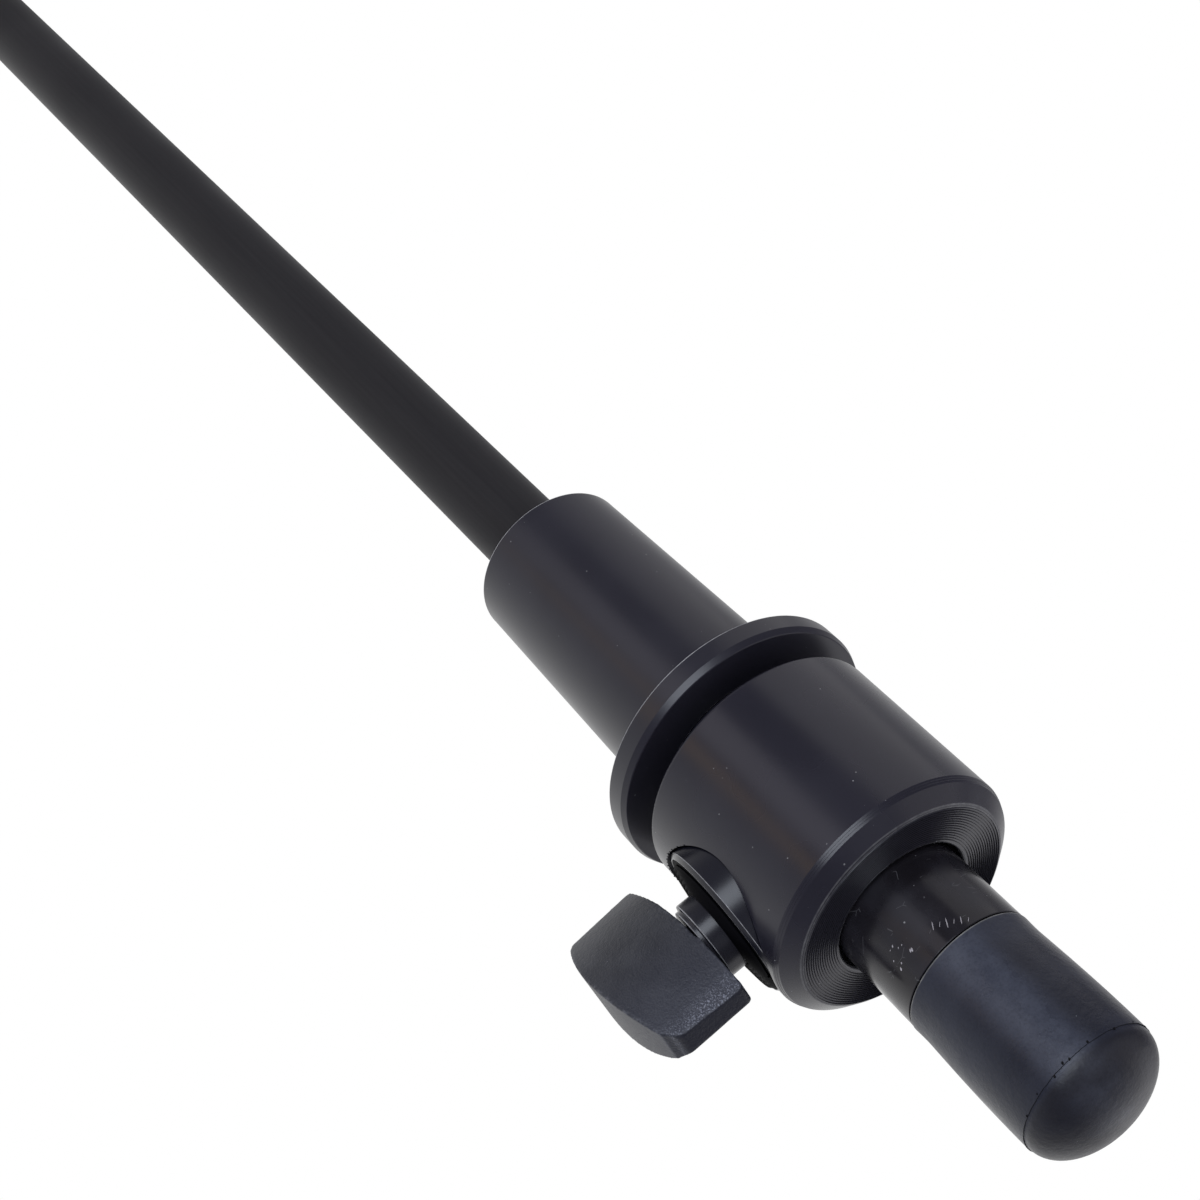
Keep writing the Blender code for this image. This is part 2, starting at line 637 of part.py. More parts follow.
def build():
    clear_scene()
    parts = make_collection("double_bass_endpin")
    cutters = make_collection("cutters")
    cutters.hide_render = False

    black_anodised = (0.028, 0.028, 0.032)
    plug_metal = make_material("plug_anodised", black_anodised, 0.38, 0.85)
    body_metal = make_material("body_anodised", black_anodised, 0.36, 0.85)
    nut_metal = make_material("nut_black_steel", (0.030, 0.031, 0.036), 0.22, 0.95)
    stud_metal = make_material("stud_black_steel", (0.036, 0.037, 0.042), 0.24, 0.95)
    ferrule_metal = make_material("ferrule_gloss_black", (0.018, 0.017, 0.018), 0.18, 0.6)
    spike_metal = make_material("spike_steel", (0.42, 0.42, 0.43), 0.3, 1.0)
    carbon = make_material("rod_carbon", (0.030, 0.029, 0.028), 0.45, 0.0)
    bush_plastic = make_material("bush_nylon", (0.035, 0.035, 0.037), 0.5, 0.0)
    pad_plastic = make_material("pad_nylon", (0.55, 0.53, 0.48), 0.5, 0.0)
    wing_plastic = make_material("wing_moulded", (0.052, 0.054, 0.060), 0.55, 0.0)
    cap_plastic = make_material("cap_plastic", (0.020, 0.020, 0.021), 0.5, 0.0)
    ring_rubber = make_material("ring_rubber", (0.015, 0.015, 0.016), 0.7, 0.0)
    tip_rubber = make_material("tip_rubber", (0.040, 0.043, 0.055), 0.6, 0.0)

    screw_axis = bpy.data.objects.new("screw_axis", None)
    parts.objects.link(screw_axis)
    screw_axis.location = (0.0, 0.0, SCREW_LEVEL)
    screw_axis.rotation_euler = (WING_TURN, 0.0, 0.0)

    make_end_plug(parts, plug_metal)
    make_clamp_body(parts, cutters, body_metal)
    make_bush("upper_bush", UPPER_BUSH_DIAMETER, PLUG_LENGTH, UPPER_BUSH_LENGTH, parts, bush_plastic)
    lower_top = POCKET_FLOOR + LOWER_BUSH_LENGTH
    make_bush("lower_bush", LOWER_BUSH_DIAMETER, lower_top, LOWER_BUSH_LENGTH, parts, bush_plastic)
    make_rattle_ring(parts, ring_rubber)
    make_clamp_nut(parts, nut_metal)
    make_pressure_pad(parts, cutters, pad_plastic)
    make_thumb_stud(parts, screw_axis, stud_metal)
    make_wing_head(parts, cutters, screw_axis, wing_plastic)
    make_carbon_rod(parts, carbon)
    make_rod_cap(parts, cap_plastic)
    make_tip_ferrule(parts, ferrule_metal)
    make_tip_spike(parts, spike_metal)
    make_tip_disc(parts, spike_metal)
    make_rubber_tip(parts, cutters, tip_rubber)


build()
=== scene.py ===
# %% [markdown]
# # The looks of a double bass endpin
# An endpin carries a double bass on the floor. A tapered plug sits in the instrument, a clamp body holds a
# carbon rod with a wing screw, and a rubber tip stands on the floor. The solid model is loaded first and
# never moved. Every cell below makes one finish or one piece that fits this solid model.

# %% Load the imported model
import math

import bmesh
import bpy
from mathutils import Matrix, Vector


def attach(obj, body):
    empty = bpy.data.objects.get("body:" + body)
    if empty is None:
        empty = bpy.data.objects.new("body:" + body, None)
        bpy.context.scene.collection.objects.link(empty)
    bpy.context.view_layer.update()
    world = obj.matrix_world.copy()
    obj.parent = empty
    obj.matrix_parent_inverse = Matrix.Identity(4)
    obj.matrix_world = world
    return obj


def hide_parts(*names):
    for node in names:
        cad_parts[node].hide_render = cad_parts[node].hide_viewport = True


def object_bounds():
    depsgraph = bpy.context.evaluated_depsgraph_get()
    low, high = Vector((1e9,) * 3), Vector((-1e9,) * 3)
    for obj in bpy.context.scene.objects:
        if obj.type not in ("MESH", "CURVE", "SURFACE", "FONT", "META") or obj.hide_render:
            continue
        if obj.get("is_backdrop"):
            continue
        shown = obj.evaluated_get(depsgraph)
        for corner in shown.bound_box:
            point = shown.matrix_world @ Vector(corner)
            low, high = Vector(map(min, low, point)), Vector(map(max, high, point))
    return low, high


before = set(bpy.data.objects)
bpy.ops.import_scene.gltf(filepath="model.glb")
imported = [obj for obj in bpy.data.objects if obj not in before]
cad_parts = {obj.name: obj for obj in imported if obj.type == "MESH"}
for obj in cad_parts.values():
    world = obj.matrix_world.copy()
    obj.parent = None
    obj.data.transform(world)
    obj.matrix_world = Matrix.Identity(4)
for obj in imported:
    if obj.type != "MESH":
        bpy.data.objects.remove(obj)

cad_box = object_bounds()
scene = bpy.context.scene

# %% [markdown]
# ## Camera
# The camera stands where the photograph was taken: near the rubber tip, below the screw, looking up along
# the rod. The three directions were measured from the photograph's perspective, and the camera's matrix is
# built from them.

# %% Camera
PICTURE_SIDE = 1200
FOCAL_PIXELS = 2010.6
right = Vector((-0.77828, -0.31476, -0.54332))
up = Vector((-0.60904, 0.58897, 0.53121))
toward_camera = right.cross(up)

camera = bpy.data.objects.new("camera", bpy.data.cameras.new("camera"))
camera.data.sensor_width = 36.0
camera.data.lens = 36.0 * FOCAL_PIXELS / PICTURE_SIDE
camera.data.clip_start = 0.01
turn = Matrix((right, up, toward_camera)).transposed().to_4x4()
CAMERA_PLACE = Vector((0.053923, 0.268476, -0.193312))
camera.matrix_world = Matrix.Translation(CAMERA_PLACE) @ turn
scene.collection.objects.link(camera)
scene.camera = camera
print("lens", round(camera.data.lens, 2), "mm")

# %% [markdown]
# ## Small helpers for nodes
# The world, the finishes and the Geometry Nodes are all trees of nodes. These helpers only add a node, join
# its sockets or blend two values, so that every tree below reads like a recipe.

# %% Node helpers
def set_inputs(tree, node, **values):
    """Joins or sets inputs by number (written _0, _1) or by name, in which _ stands for a space."""
    for key, value in values.items():
        socket = node.inputs[int(key[1:])] if key.startswith("_") else node.inputs[key.replace("_", " ")]
        if isinstance(value, bpy.types.NodeSocket):
            tree.links.new(value, socket)
        else:
            socket.default_value = value
    return node


def add(tree, kind, operation=None, **values):
    node = tree.nodes.new(kind)
    if operation:
        node.operation = operation
    return set_inputs(tree, node, **values)


def out(tree, kind, operation=None, **values):
    """Adds a node and gives its first output."""
    return add(tree, kind, operation, **values).outputs[0]


def calculate(tree, operation, *values):
    return out(tree, "ShaderNodeMath", operation, **{f"_{place}": value for place, value in enumerate(values)})


def blend_colour(tree, factor, low, high):
    node = tree.nodes.new("ShaderNodeMix")
    node.data_type = "RGBA"
    low, high = ((*value, 1.0) if isinstance(value, tuple) else value for value in (low, high))
    return set_inputs(tree, node, _0=factor, _6=low, _7=high).outputs[2]

# %% [markdown]
# ## Light
# The pieces are black, so nearly all that the eye sees on them is what they reflect. A white ground behind
# the object gives bright outlines, and the dimmer room behind the photographer keeps the middle dark. Soft
# lamps make the long bands on the turned pieces. A shiny cylinder mirrors a lamp along one line only, so
# three lamps are placed by the angle round the barrel at which their bands were seen in the photograph, and
# the others stand at given places.

# %% World
scene.world = bpy.data.worlds.new("studio")
scene.world.use_nodes = True
tree = scene.world.node_tree
sky = set_inputs(tree, tree.nodes["Background"], Color=(0.97, 0.98, 1.0, 1.0), Strength=0.55)
ray = add(tree, "ShaderNodeLightPath").outputs
direction = add(tree, "ShaderNodeTexCoord").outputs["Generated"]
ROOM_DIRECTION = toward_camera + Vector((-0.60, 0.0, 0.0))
behind = add(tree, "ShaderNodeVectorMath", "DOT_PRODUCT", _0=direction, _1=ROOM_DIRECTION).outputs["Value"]
room = out(tree, "ShaderNodeMapRange", _0=behind, _1=-1.0, _2=0.10)
mirrored_room = calculate(tree, "MULTIPLY", room, ray["Is Glossy Ray"])
surroundings = blend_colour(tree, mirrored_room, (1.0, 1.0, 1.0), (0.15, 0.145, 0.185))
in_gloss = calculate(tree, "MAXIMUM", ray["Is Glossy Ray"], ray["Is Transmission Ray"])
seen = calculate(tree, "MAXIMUM", ray["Is Camera Ray"], in_gloss)
white = out(tree, "ShaderNodeBackground", Color=surroundings, Strength=1.0)
choose = out(tree, "ShaderNodeMixShader", _0=seen, _1=sky.outputs[0], _2=white)
tree.links.new(choose, tree.nodes["World Output"].inputs["Surface"])
scene.view_settings.view_transform = "Standard"

# %% Lamps
MM = 0.001
BARREL_SPOT = (22.3 * MM, -25.0 * MM)
LAMP_DISTANCE = 0.8


def mirrored_place(angle):
    """Where a lamp must stand so that the barrel's side mirrors it to the camera at this angle in degrees."""
    outward = Vector((math.cos(math.radians(angle)), math.sin(math.radians(angle)), 0.0))
    spot = outward * BARREL_SPOT[0] + Vector((0.0, 0.0, BARREL_SPOT[1]))
    to_camera = (CAMERA_PLACE - spot).normalized()
    return spot + (outward * 2 * outward.dot(to_camera) - to_camera) * LAMP_DISTANCE


def soft_lamp(name, place, size, watts, colour):
    """A soft rectangular lamp that faces the clamp body."""
    lamp = bpy.data.objects.new(name, bpy.data.lights.new(name, "AREA"))
    lamp.data.shape = "RECTANGLE"
    lamp.data.size = size[0]
    lamp.data.size_y = size[1]
    lamp.data.energy = watts
    lamp.data.color = colour
    lamp.location = place
    lamp.visible_camera = False
    lamp.rotation_mode = "QUATERNION"
    lamp.rotation_quaternion = Vector(place).to_track_quat("Z", "Y")
    scene.collection.objects.link(lamp)
    return lamp


soft_lamp("window", mirrored_place(77), (0.30, 0.42), 0.31, (0.98, 0.93, 1.0))
soft_lamp("warm_wall", mirrored_place(65), (0.13, 0.36), 0.11, (1.0, 0.62, 0.20))
soft_lamp("far_wall", mirrored_place(117), (0.82, 0.42), 0.60, (1.0, 0.98, 0.97))
soft_lamp("screw_glint", (0.10, 0.80, -0.13), (0.55, 0.38), 3.0, (0.84, 0.90, 1.0))
soft_lamp("side_wall", (-0.315, 0.054, -0.279), (0.40, 0.31), 0.18, (1.0, 0.97, 1.0))
soft_lamp("floor_glow", (-0.063, 0.189, -0.36), (0.20, 0.20), 0.030, (0.84, 0.88, 1.0))
soft_lamp("back_wall", (-0.189, -0.279, -0.297), (0.40, 0.31), 0.26, (0.97, 0.97, 1.0))
low_fill = soft_lamp("low_fill", (0.375, 0.075, -0.275), (0.30, 0.25), 0.30, (0.93, 0.96, 1.0))
low_fill.visible_glossy = False

# %% [markdown]
# ## Floor
# The floor lies below the lowest point that the rubber tip reaches with the rod pulled out, so it never
# cuts the part. It is pale and plain, and it is marked as stage because it isn't part of the object. Glossy
# rays pass it, so that the dark metal mirrors the white ground and the room as it did in the photograph.

# %% Floor
FLOOR_LEVEL, FLOOR_HALF = -0.45, 40.0
UPRIGHT = Matrix.Identity(4)


def finished_mesh(name, shape, place=UPRIGHT):
    """Turns an edited shape into a mesh and moves it to its place."""
    mesh = bpy.data.meshes.new(name)
    shape.to_mesh(mesh)
    shape.free()
    mesh.transform(place)
    return mesh


def feed_shader(tree, colour, roughness, **others):
    set_inputs(tree, tree.nodes["Principled BSDF"], Base_Color=colour, Roughness=roughness, **others)


def plain_material(name, colour, roughness, specular=0.5):
    material = bpy.data.materials.new(name)
    material.use_nodes = True
    feed_shader(material.node_tree, (*colour, 1.0), roughness, Specular_IOR_Level=specular)
    return material


floor_shape = bmesh.new()
bmesh.ops.create_grid(floor_shape, x_segments=1, y_segments=1, size=FLOOR_HALF)
floor = bpy.data.objects.new("floor", finished_mesh("floor", floor_shape))
floor.location = (0.0, 0.0, FLOOR_LEVEL)
scene.collection.objects.link(floor)
floor.data.materials.append(plain_material("floor_paint", (0.86, 0.86, 0.86), 0.9))
floor.visible_glossy = False
floor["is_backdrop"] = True
print("floor at", FLOOR_LEVEL, "m")

# %% [markdown]
# ## Small helpers for finishes
# Each material keeps its own Principled shader. These helpers name the steps that many finishes share: a
# noise, a value that is stretched to another range, a bump, and a value that the mesh stores.

# %% Material helpers
def spread(tree, value, low, high):
    """Maps 0..1 to low..high."""
    return out(tree, "ShaderNodeMapRange", _0=value, _3=low, _4=high)


def narrow(tree, value, low, high):
    """Maps low..high to 0..1."""
    return out(tree, "ShaderNodeMapRange", _0=value, _1=low, _2=high)


def noise(tree, place, scale, detail, roughness=0.5):
    return out(tree, "ShaderNodeTexNoise", Vector=place, Scale=scale, Detail=detail, Roughness=roughness)


def bump(tree, height, depth, strength=1.0):
    return out(tree, "ShaderNodeBump", Height=height, Strength=strength, Distance=depth)


def stored(tree, name):
    """A value that the mesh keeps at each point, such as how near an edge is."""
    node = add(tree, "ShaderNodeAttribute")
    node.attribute_name = name
    return node.outputs["Fac"]


def open_recipe(material, turn=(0.0, 0.0, 0.0)):
    """The material's tree, and object coordinates that are turned so that Z is the piece's own axis."""
    tree = material.node_tree
    place = add(tree, "ShaderNodeTexCoord").outputs["Object"]
    return tree, out(tree, "ShaderNodeMapping", Vector=place, Rotation=turn)

# %% [markdown]
# ## Shared effects
# Four effects come back in many finishes: the fine lines that a lathe leaves round a piece, dust, hairline
# scratches, and slow cloudy variation from handling. Each is a shader node group that puts out a mask or a
# height, so that every material can use it with its own values.

# %% Shader groups
def name_inputs(tree, **inputs):
    """Gives a tree named inputs: a whole number makes an Int socket, any other number a Float."""
    for label, value in inputs.items():
        kind = "NodeSocketInt" if isinstance(value, int) else "NodeSocketFloat"
        socket = tree.interface.new_socket(label.replace("_", " "), in_out="INPUT", socket_type=kind)
        socket.default_value = value


def new_group(name, output, **inputs):
    group = bpy.data.node_groups.new(name, "ShaderNodeTree")
    group.interface.new_socket("Vector", in_out="INPUT", socket_type="NodeSocketVector")
    name_inputs(group, **inputs)
    group.interface.new_socket(output, in_out="OUTPUT", socket_type="NodeSocketFloat")
    return group, group.nodes.new("NodeGroupInput").outputs, group.nodes.new("NodeGroupOutput").inputs[output]


def lathe_marks_group():
    """Lines that run round the axis: noise that changes with radius and height but hardly with the angle."""
    group, given, result = new_group("lathe_marks", "Height", Lines_per_mm=6.0)
    parts = add(group, "ShaderNodeSeparateXYZ", _0=given["Vector"]).outputs
    flat = out(group, "ShaderNodeCombineXYZ", _0=parts[0], _1=parts[1])
    radius = add(group, "ShaderNodeVectorMath", "LENGTH", _0=flat).outputs["Value"]
    drift = out(group, "ShaderNodeVectorMath", "SCALE", _0=given["Vector"], Scale=60.0)
    per_metre = calculate(group, "MULTIPLY", given["Lines per mm"], 1000.0)
    across = calculate(group, "MULTIPLY", radius, per_metre)
    along = calculate(group, "MULTIPLY", parts[2], per_metre)
    lines = out(group, "ShaderNodeCombineXYZ", _0=across, _2=along)
    both = out(group, "ShaderNodeVectorMath", "ADD", _0=lines, _1=drift)
    group.links.new(noise(group, both, 1.0, 2.0, 0.6), result)
    return group


def dust_group():
    """Round specks: cells of a Voronoi pattern, of which only a few are kept, each a small disc."""
    group, given, result = new_group("dust_specks", "Mask", Cell=0.002, Share=0.1, Size=0.06)
    scale = calculate(group, "DIVIDE", 1.0, given["Cell"])
    cells = add(group, "ShaderNodeTexVoronoi", Vector=given["Vector"], Scale=scale)
    random = add(group, "ShaderNodeSeparateXYZ", _0=cells.outputs["Color"]).outputs
    kept = calculate(group, "LESS_THAN", random[0], given["Share"])
    size = calculate(group, "MULTIPLY", random[1], given["Size"])
    disc = calculate(group, "LESS_THAN", cells.outputs["Distance"], size)
    group.links.new(calculate(group, "MULTIPLY", kept, disc), result)
    return group


def scratch_group():
    """Hairlines: the straight walls between the cells of a Voronoi pattern, kept in a few small areas only."""
    group, given, result = new_group("hairline_scratches", "Mask", Scale=120.0, Width=0.004)
    tilt = out(group, "ShaderNodeMapping", Vector=given["Vector"], Rotation=(0.5, 0.3, 0.7), Scale=(1.0, 0.4, 1.6))
    cells = add(group, "ShaderNodeTexVoronoi", Vector=tilt, Scale=given["Scale"])
    cells.feature = "DISTANCE_TO_EDGE"
    line = calculate(group, "LESS_THAN", cells.outputs["Distance"], given["Width"])
    where = calculate(group, "GREATER_THAN", noise(group, given["Vector"], 420.0, 1.0), 0.62)
    group.links.new(calculate(group, "MULTIPLY", line, where), result)
    return group


def cloud_group():
    """Slow variation, as handling and a thin film of dust leave it."""
    group, given, result = new_group("handling_clouds", "Value", Scale=60.0)
    slow = noise(group, given["Vector"], given["Scale"], 2.5, 0.45)
    steep = add(group, "ShaderNodeMapRange", _0=slow, _1=0.25, _2=0.75)
    steep.interpolation_type = "SMOOTHERSTEP"
    group.links.new(steep.outputs[0], result)
    return group


lathe_marks = lathe_marks_group()
dust_specks = dust_group()
hairlines = scratch_group()
clouds = cloud_group()


def effect(tree, group, **values):
    """Places a shader group in a material with values of its own."""
    node = tree.nodes.new("ShaderNodeGroup")
    node.node_tree = group
    return set_inputs(tree, node, **values).outputs[0]


print("shader groups:", [g.name for g in bpy.data.node_groups])

# %% [markdown]
# ## Black finishes on turned metal
# Anodised aluminium is dyed black and slightly satin, and black steel is glossier. Both show lathe lines,
# a little dust, and a paler edge, partly where the dye is thin or has come off through rubbing and partly a
# painted highlight along the rims. The mesh stores how near an edge is in an attribute called edge, which
# the material reads, so the pale edges fall in the right places on every piece.

# %% Turned finish
MICRON = 1e-6
ALONG_SCREW = (0.0, -math.pi / 2, 0.0)
DUST_COLOUR = (0.17, 0.17, 0.18)
RING_STRENGTH = 20.0


def dusted(tree, base, place, cell, share, size, colour):
    specks = effect(tree, dust_specks, Vector=place, Cell=cell, Share=share, Size=size)
    return blend_colour(tree, specks, base, colour)


def turned_finish(name, colour, roughness, specular, lines, depth, dust, rubbing_and_highlight_tone=0.12, turn=(0.0, 0.0, 0.0), front=None):
    """Lines per mm and their depth in microns; below the height called front, a coarser facing cut."""
    material = plain_material(name, colour, roughness, specular)
    tree, place = open_recipe(material, turn)
    cloudy = effect(tree, clouds, Vector=place, Scale=70.0)
    paler = tuple(channel * 1.5 + 0.002 for channel in colour)
    base = blend_colour(tree, spread(tree, cloudy, 0.0, 0.35), colour, paler)
    # Pale edges: partly rubbing of the dye, partly a painted highlight along the rims.
    rubbed_and_lit_edge = calculate(tree, "MULTIPLY", stored(tree, "edge"), noise(tree, place, 900.0, 2.0))
    base = blend_colour(tree, rubbed_and_lit_edge, base, (rubbing_and_highlight_tone, rubbing_and_highlight_tone, rubbing_and_highlight_tone * 1.05))
    base = dusted(tree, base, place, 0.0013, dust, 0.11, DUST_COLOUR)
    marks = effect(tree, lathe_marks, Vector=place, Lines_per_mm=lines)
    if front is not None:
        height = add(tree, "ShaderNodeSeparateXYZ", _0=place).outputs[2]
        faced = calculate(tree, "LESS_THAN", height, front)
        marks = calculate(tree, "MULTIPLY", marks, spread(tree, faced, 1.0, RING_STRENGTH))
    shine = spread(tree, cloudy, roughness - 0.01, roughness + 0.03)
    feed_shader(tree, base, shine, Normal=bump(tree, marks, depth * MICRON))
    return material


# The plug's pale edge tone is high because its flange's back rim carries a painted highlight.
anodised_plug = turned_finish("anodised_plug", (0.0135, 0.013, 0.020), 0.30, 0.5, 5.0, 0.6, 0.2, 0.75)
anodised_body = turned_finish("anodised_body", (0.0120, 0.0115, 0.0185), 0.26, 0.5, 5.0, 0.5, 0.3, front=-45.05 * MM)
black_nut = turned_finish("black_nut", (0.007, 0.0073, 0.0120), 0.25, 0.5, 9.0, 0.6, 0.04, 0.45, ALONG_SCREW)
black_stud = turned_finish("black_stud", (0.009, 0.0093, 0.0140), 0.26, 0.5, 9.0, 0.6, 0.02, 0.50, ALONG_SCREW)
matt_face = turned_finish("matt_face", (0.0022, 0.0022, 0.0032), 0.65, 0.04, 9.0, 0.6, 0.02, 0.06, ALONG_SCREW)
print("turned finishes:", [m.name for m in bpy.data.materials])

# %% [markdown]
# ## A lathe in Blender
# Most pieces are turned. A real turner cuts a profile along a round bar, so the helper takes the same
# profile in millimetres, rounds every corner a little, as no real edge is perfectly sharp, and spins it
# into rings of quads. It marks the rounded outer corners in the attribute edge, where the finish paints a
# pale edge, partly for rubbing and partly as a painted highlight.

# %% Lathe helper
SCREW_LEVEL = -27.4
ALONG_X = Matrix(((0, 0, 1, 0), (0, 1, 0, 0), (-1, 0, 0, SCREW_LEVEL * MM), (0, 0, 0, 1)))


def softened(profile, radius, segments=3):
    """The profile with its corners rounded, and how pale each point's edge is painted, for rubbing and a painted
    highlight: 1 on a rounded outer corner.
    """
    closed = profile[0][0] > 0
    points = []
    last = len(profile) - 1
    for index, corner in enumerate(profile):
        here = Vector(corner[:2])
        before = Vector(profile[index - 1][:2]) - here
        after = Vector(profile[(index + 1) % len(profile)][:2]) - here
        at_axis = not closed and index in (0, last)
        if len(corner) == 3 or at_axis or before.angle(-after) < math.radians(12):
            points.append((here, corner[2] if len(corner) == 3 else 0.0))
            continue
        reach = min(radius, before.length * 0.45, after.length * 0.45)
        start = here + before.normalized() * reach
        end = here + after.normalized() * reach
        outer = 1.0 if before.x * after.y - before.y * after.x > 0 else 0.0
        for step in range(segments + 1):
            share = step / segments
            on_curve = start * (1 - share) ** 2 + here * 2 * share * (1 - share) + end * share**2
            points.append((on_curve, outer if 0 < step < segments else 0.0))
    return points, closed


def turned_mesh(name, profile, steps=192, corner=0.12, place=UPRIGHT):
    """Spins a profile of (radius, height) points, which runs down the outer side, into a closed mesh."""
    points, closed = softened(profile, corner)
    shape = bmesh.new()
    edge_layer = shape.verts.layers.float.new("edge")
    turns = [math.tau * step / steps for step in range(steps)]
    rings = []
    for point, pale_edge_share in points:
        radius, height = point.x * MM, point.y * MM
        if point.x < 1e-6:
            ring = [shape.verts.new((0.0, 0.0, height))] * steps
        else:
            ring = [shape.verts.new((radius * math.cos(turn), radius * math.sin(turn), height)) for turn in turns]
        for corner_point in set(ring):
            corner_point[edge_layer] = pale_edge_share
        rings.append(ring)
    if closed:
        rings.append(rings[0])
    for upper, lower in zip(rings, rings[1:]):
        for step in range(steps):
            after = (step + 1) % steps
            quad = (upper[step], lower[step], lower[after], upper[after])
            shape.faces.new(list(dict.fromkeys(quad)))
    return finished_mesh(name, shape, place)


def add_piece(name, mesh, material, body, node, sharp=40):
    """Shows a finished mesh, shades it smooth between its sharp edges, and lets it ride on its body."""
    piece = bpy.data.objects.new(name, mesh)
    scene.collection.objects.link(piece)
    if material and not mesh.materials:
        mesh.materials.append(material)
    mesh.polygons.foreach_set("use_smooth", [True] * len(mesh.polygons))
    mesh.set_sharp_from_angle(angle=math.radians(sharp))
    normals = piece.modifiers.new("even shading", "WEIGHTED_NORMAL")
    normals.keep_sharp = True
    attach(piece, body)
    if node:
        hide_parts(node)
    print(name, len(mesh.polygons), "faces")


def turn_piece(name, profile, material, body, node, slot, sharp=40, **turning):
    add_piece(name, turned_mesh(name, profile, **turning), material, body, node, sharp)


def arc(centre, radii, start, end, segments):
    """Points (radius, height) on an arc between two angles in degrees."""
    turns = [math.radians(start + (end - start) * step / segments) for step in range(segments + 1)]
    return [(centre[0] + radii[0] * math.cos(turn), centre[1] + radii[1] * math.sin(turn)) for turn in turns]

# %% [markdown]
# ## End plug
# The plug is a slightly tapered sleeve with a flange. Strings pull it into the end block, so its long side
# is plain and smooth. One turned profile gives the sleeve, the flange and the socket for the body's spigot.

# %% End plug
FLANGE_FRONT = -4.8
# The third numbers mark the flange's back rim, which the finish paints pale, partly for rubbing and partly as a
# painted highlight.
plug_profile = [
    (11.3, 55.3), (14.65, 55.3), (15.05, 54.9), (16.3, 0.0), (23.5, 0.0, 0.0), (23.6, -0.03, 1.0),
    (23.97, -0.38, 1.0), (24.0, -0.5, 0.0), (24.0, -3.65, 0.0), (23.55, -4.7, 0.0),
    (23.4, FLANGE_FRONT, 0.0), (15.8, FLANGE_FRONT), (15.8, -4.0), (12.3, -4.0), (12.3, 11.2), (9.2, 11.2),
    (9.2, 24.7), (10.4, 24.7), (10.4, 27.3), (9.2, 27.3), (9.2, 45.0), (11.3, 45.0),
]
FACET_ANGLE = 17
turn_piece("turned_plug", plug_profile, anodised_plug, "housing", "end_plug", "plug_anodised", FACET_ANGLE)

# %% [markdown]
# ## Clamp body
# The barrel is turned as well: a groove behind it for the tail wire, a long plain side, a straight chamfer
# and a flat front. The side hole for the nut is bored after turning, so here a Boolean does it after the
# lathe, and a small bevel on its rim catches the light as the real edge does.

# %% Clamp body
BODY_RADIUS, BODY_BACK, BODY_FRONT = 22.35, -9.4, -45.1
HOLE_RADIUS = 14.0
body_profile = [(8.6, 10.9), (12.0, 10.9), (12.0, -4.3), (15.5, -4.3), (15.5, BODY_BACK)]
body_profile += arc((BODY_RADIUS - 1.0, BODY_BACK - 1.0), (1.0, 1.0), 90, 0, 8)
body_profile += [
    (BODY_RADIUS, -41.6, 0.0), (BODY_RADIUS, -41.95, 0.0), (22.24, -42.27, 0.0), (22.19, -42.29, 0.0),
    (22.07, -42.62, 0.0), (22.02, -42.64, 0.0), (21.88, -43.0, 0.0),
    (19.35, BODY_FRONT + 0.1), (18.9, BODY_FRONT), (12.3, BODY_FRONT),
    (12.0, BODY_FRONT + 0.3), (12.0, -40.9), (10.3, -40.9), (10.3, -33.6), (8.6, -33.6),
]
body_mesh = turned_mesh("turned_body", body_profile, steps=256, corner=0.25)

hole_profile = [(0.0, 45.0), (HOLE_RADIUS, 45.0), (HOLE_RADIUS, 13.7), (9.0, 13.7), (9.0, 11.1), (6.3, 11.1)]
hole_profile += [(6.3, 0.0), (0.0, 0.0)]
hole_mesh = turned_mesh("hole", hole_profile, steps=160, corner=0.01, place=ALONG_X)


def applied(name, mesh, modify):
    """Runs modifiers on a mesh and returns the result as a plain mesh."""
    worker = bpy.data.objects.new(name, mesh)
    scene.collection.objects.link(worker)
    helpers = modify(worker)
    graph = bpy.context.evaluated_depsgraph_get()
    result = bpy.data.meshes.new_from_object(worker.evaluated_get(graph))
    for extra in [worker, *helpers]:
        bpy.data.objects.remove(extra, do_unlink=True)
    return result


def cut_with(worker, mesh, operation):
    """Adds an exact Boolean and gives the helper object that holds the cutting mesh."""
    tool = bpy.data.objects.new(mesh.name, mesh)
    scene.collection.objects.link(tool)
    cut = worker.modifiers.new(mesh.name, "BOOLEAN")
    cut.operation = operation
    cut.solver = "EXACT"
    cut.object = tool
    return tool


def bore_side_hole(worker):
    tool = cut_with(worker, hole_mesh, "DIFFERENCE")
    rim = worker.modifiers.new("rim", "BEVEL")
    rim.width = 0.12 * MM
    rim.segments = 2
    rim.limit_method = "ANGLE"
    rim.angle_limit = math.radians(60)
    return [tool]


body_mesh = applied("turned_body", body_mesh, bore_side_hole)
add_piece("turned_body", body_mesh, anodised_body, "housing", "clamp_body", FACET_ANGLE)

# %% [markdown]
# ## Turning rings on the front face
# A facing cut leaves fine rings round the front of the barrel. They repeat at an even step, which is what
# Geometry Nodes do best: points in a row, a circle on each, scaled to its radius, and a thin section swept
# round them all. Rings as geometry catch the light at the right places from any side.

# %% A tree for rings
def new_tree(name, **inputs):
    """An empty Geometry Nodes tree with named inputs."""
    tree = bpy.data.node_groups.new(name, "GeometryNodeTree")
    tree.interface.new_socket("Geometry", in_out="INPUT", socket_type="NodeSocketGeometry")
    name_inputs(tree, **inputs)
    tree.interface.new_socket("Material", in_out="INPUT", socket_type="NodeSocketMaterial")
    tree.interface.new_socket("Geometry", in_out="OUTPUT", socket_type="NodeSocketGeometry")
    return tree, tree.nodes.new("NodeGroupInput").outputs


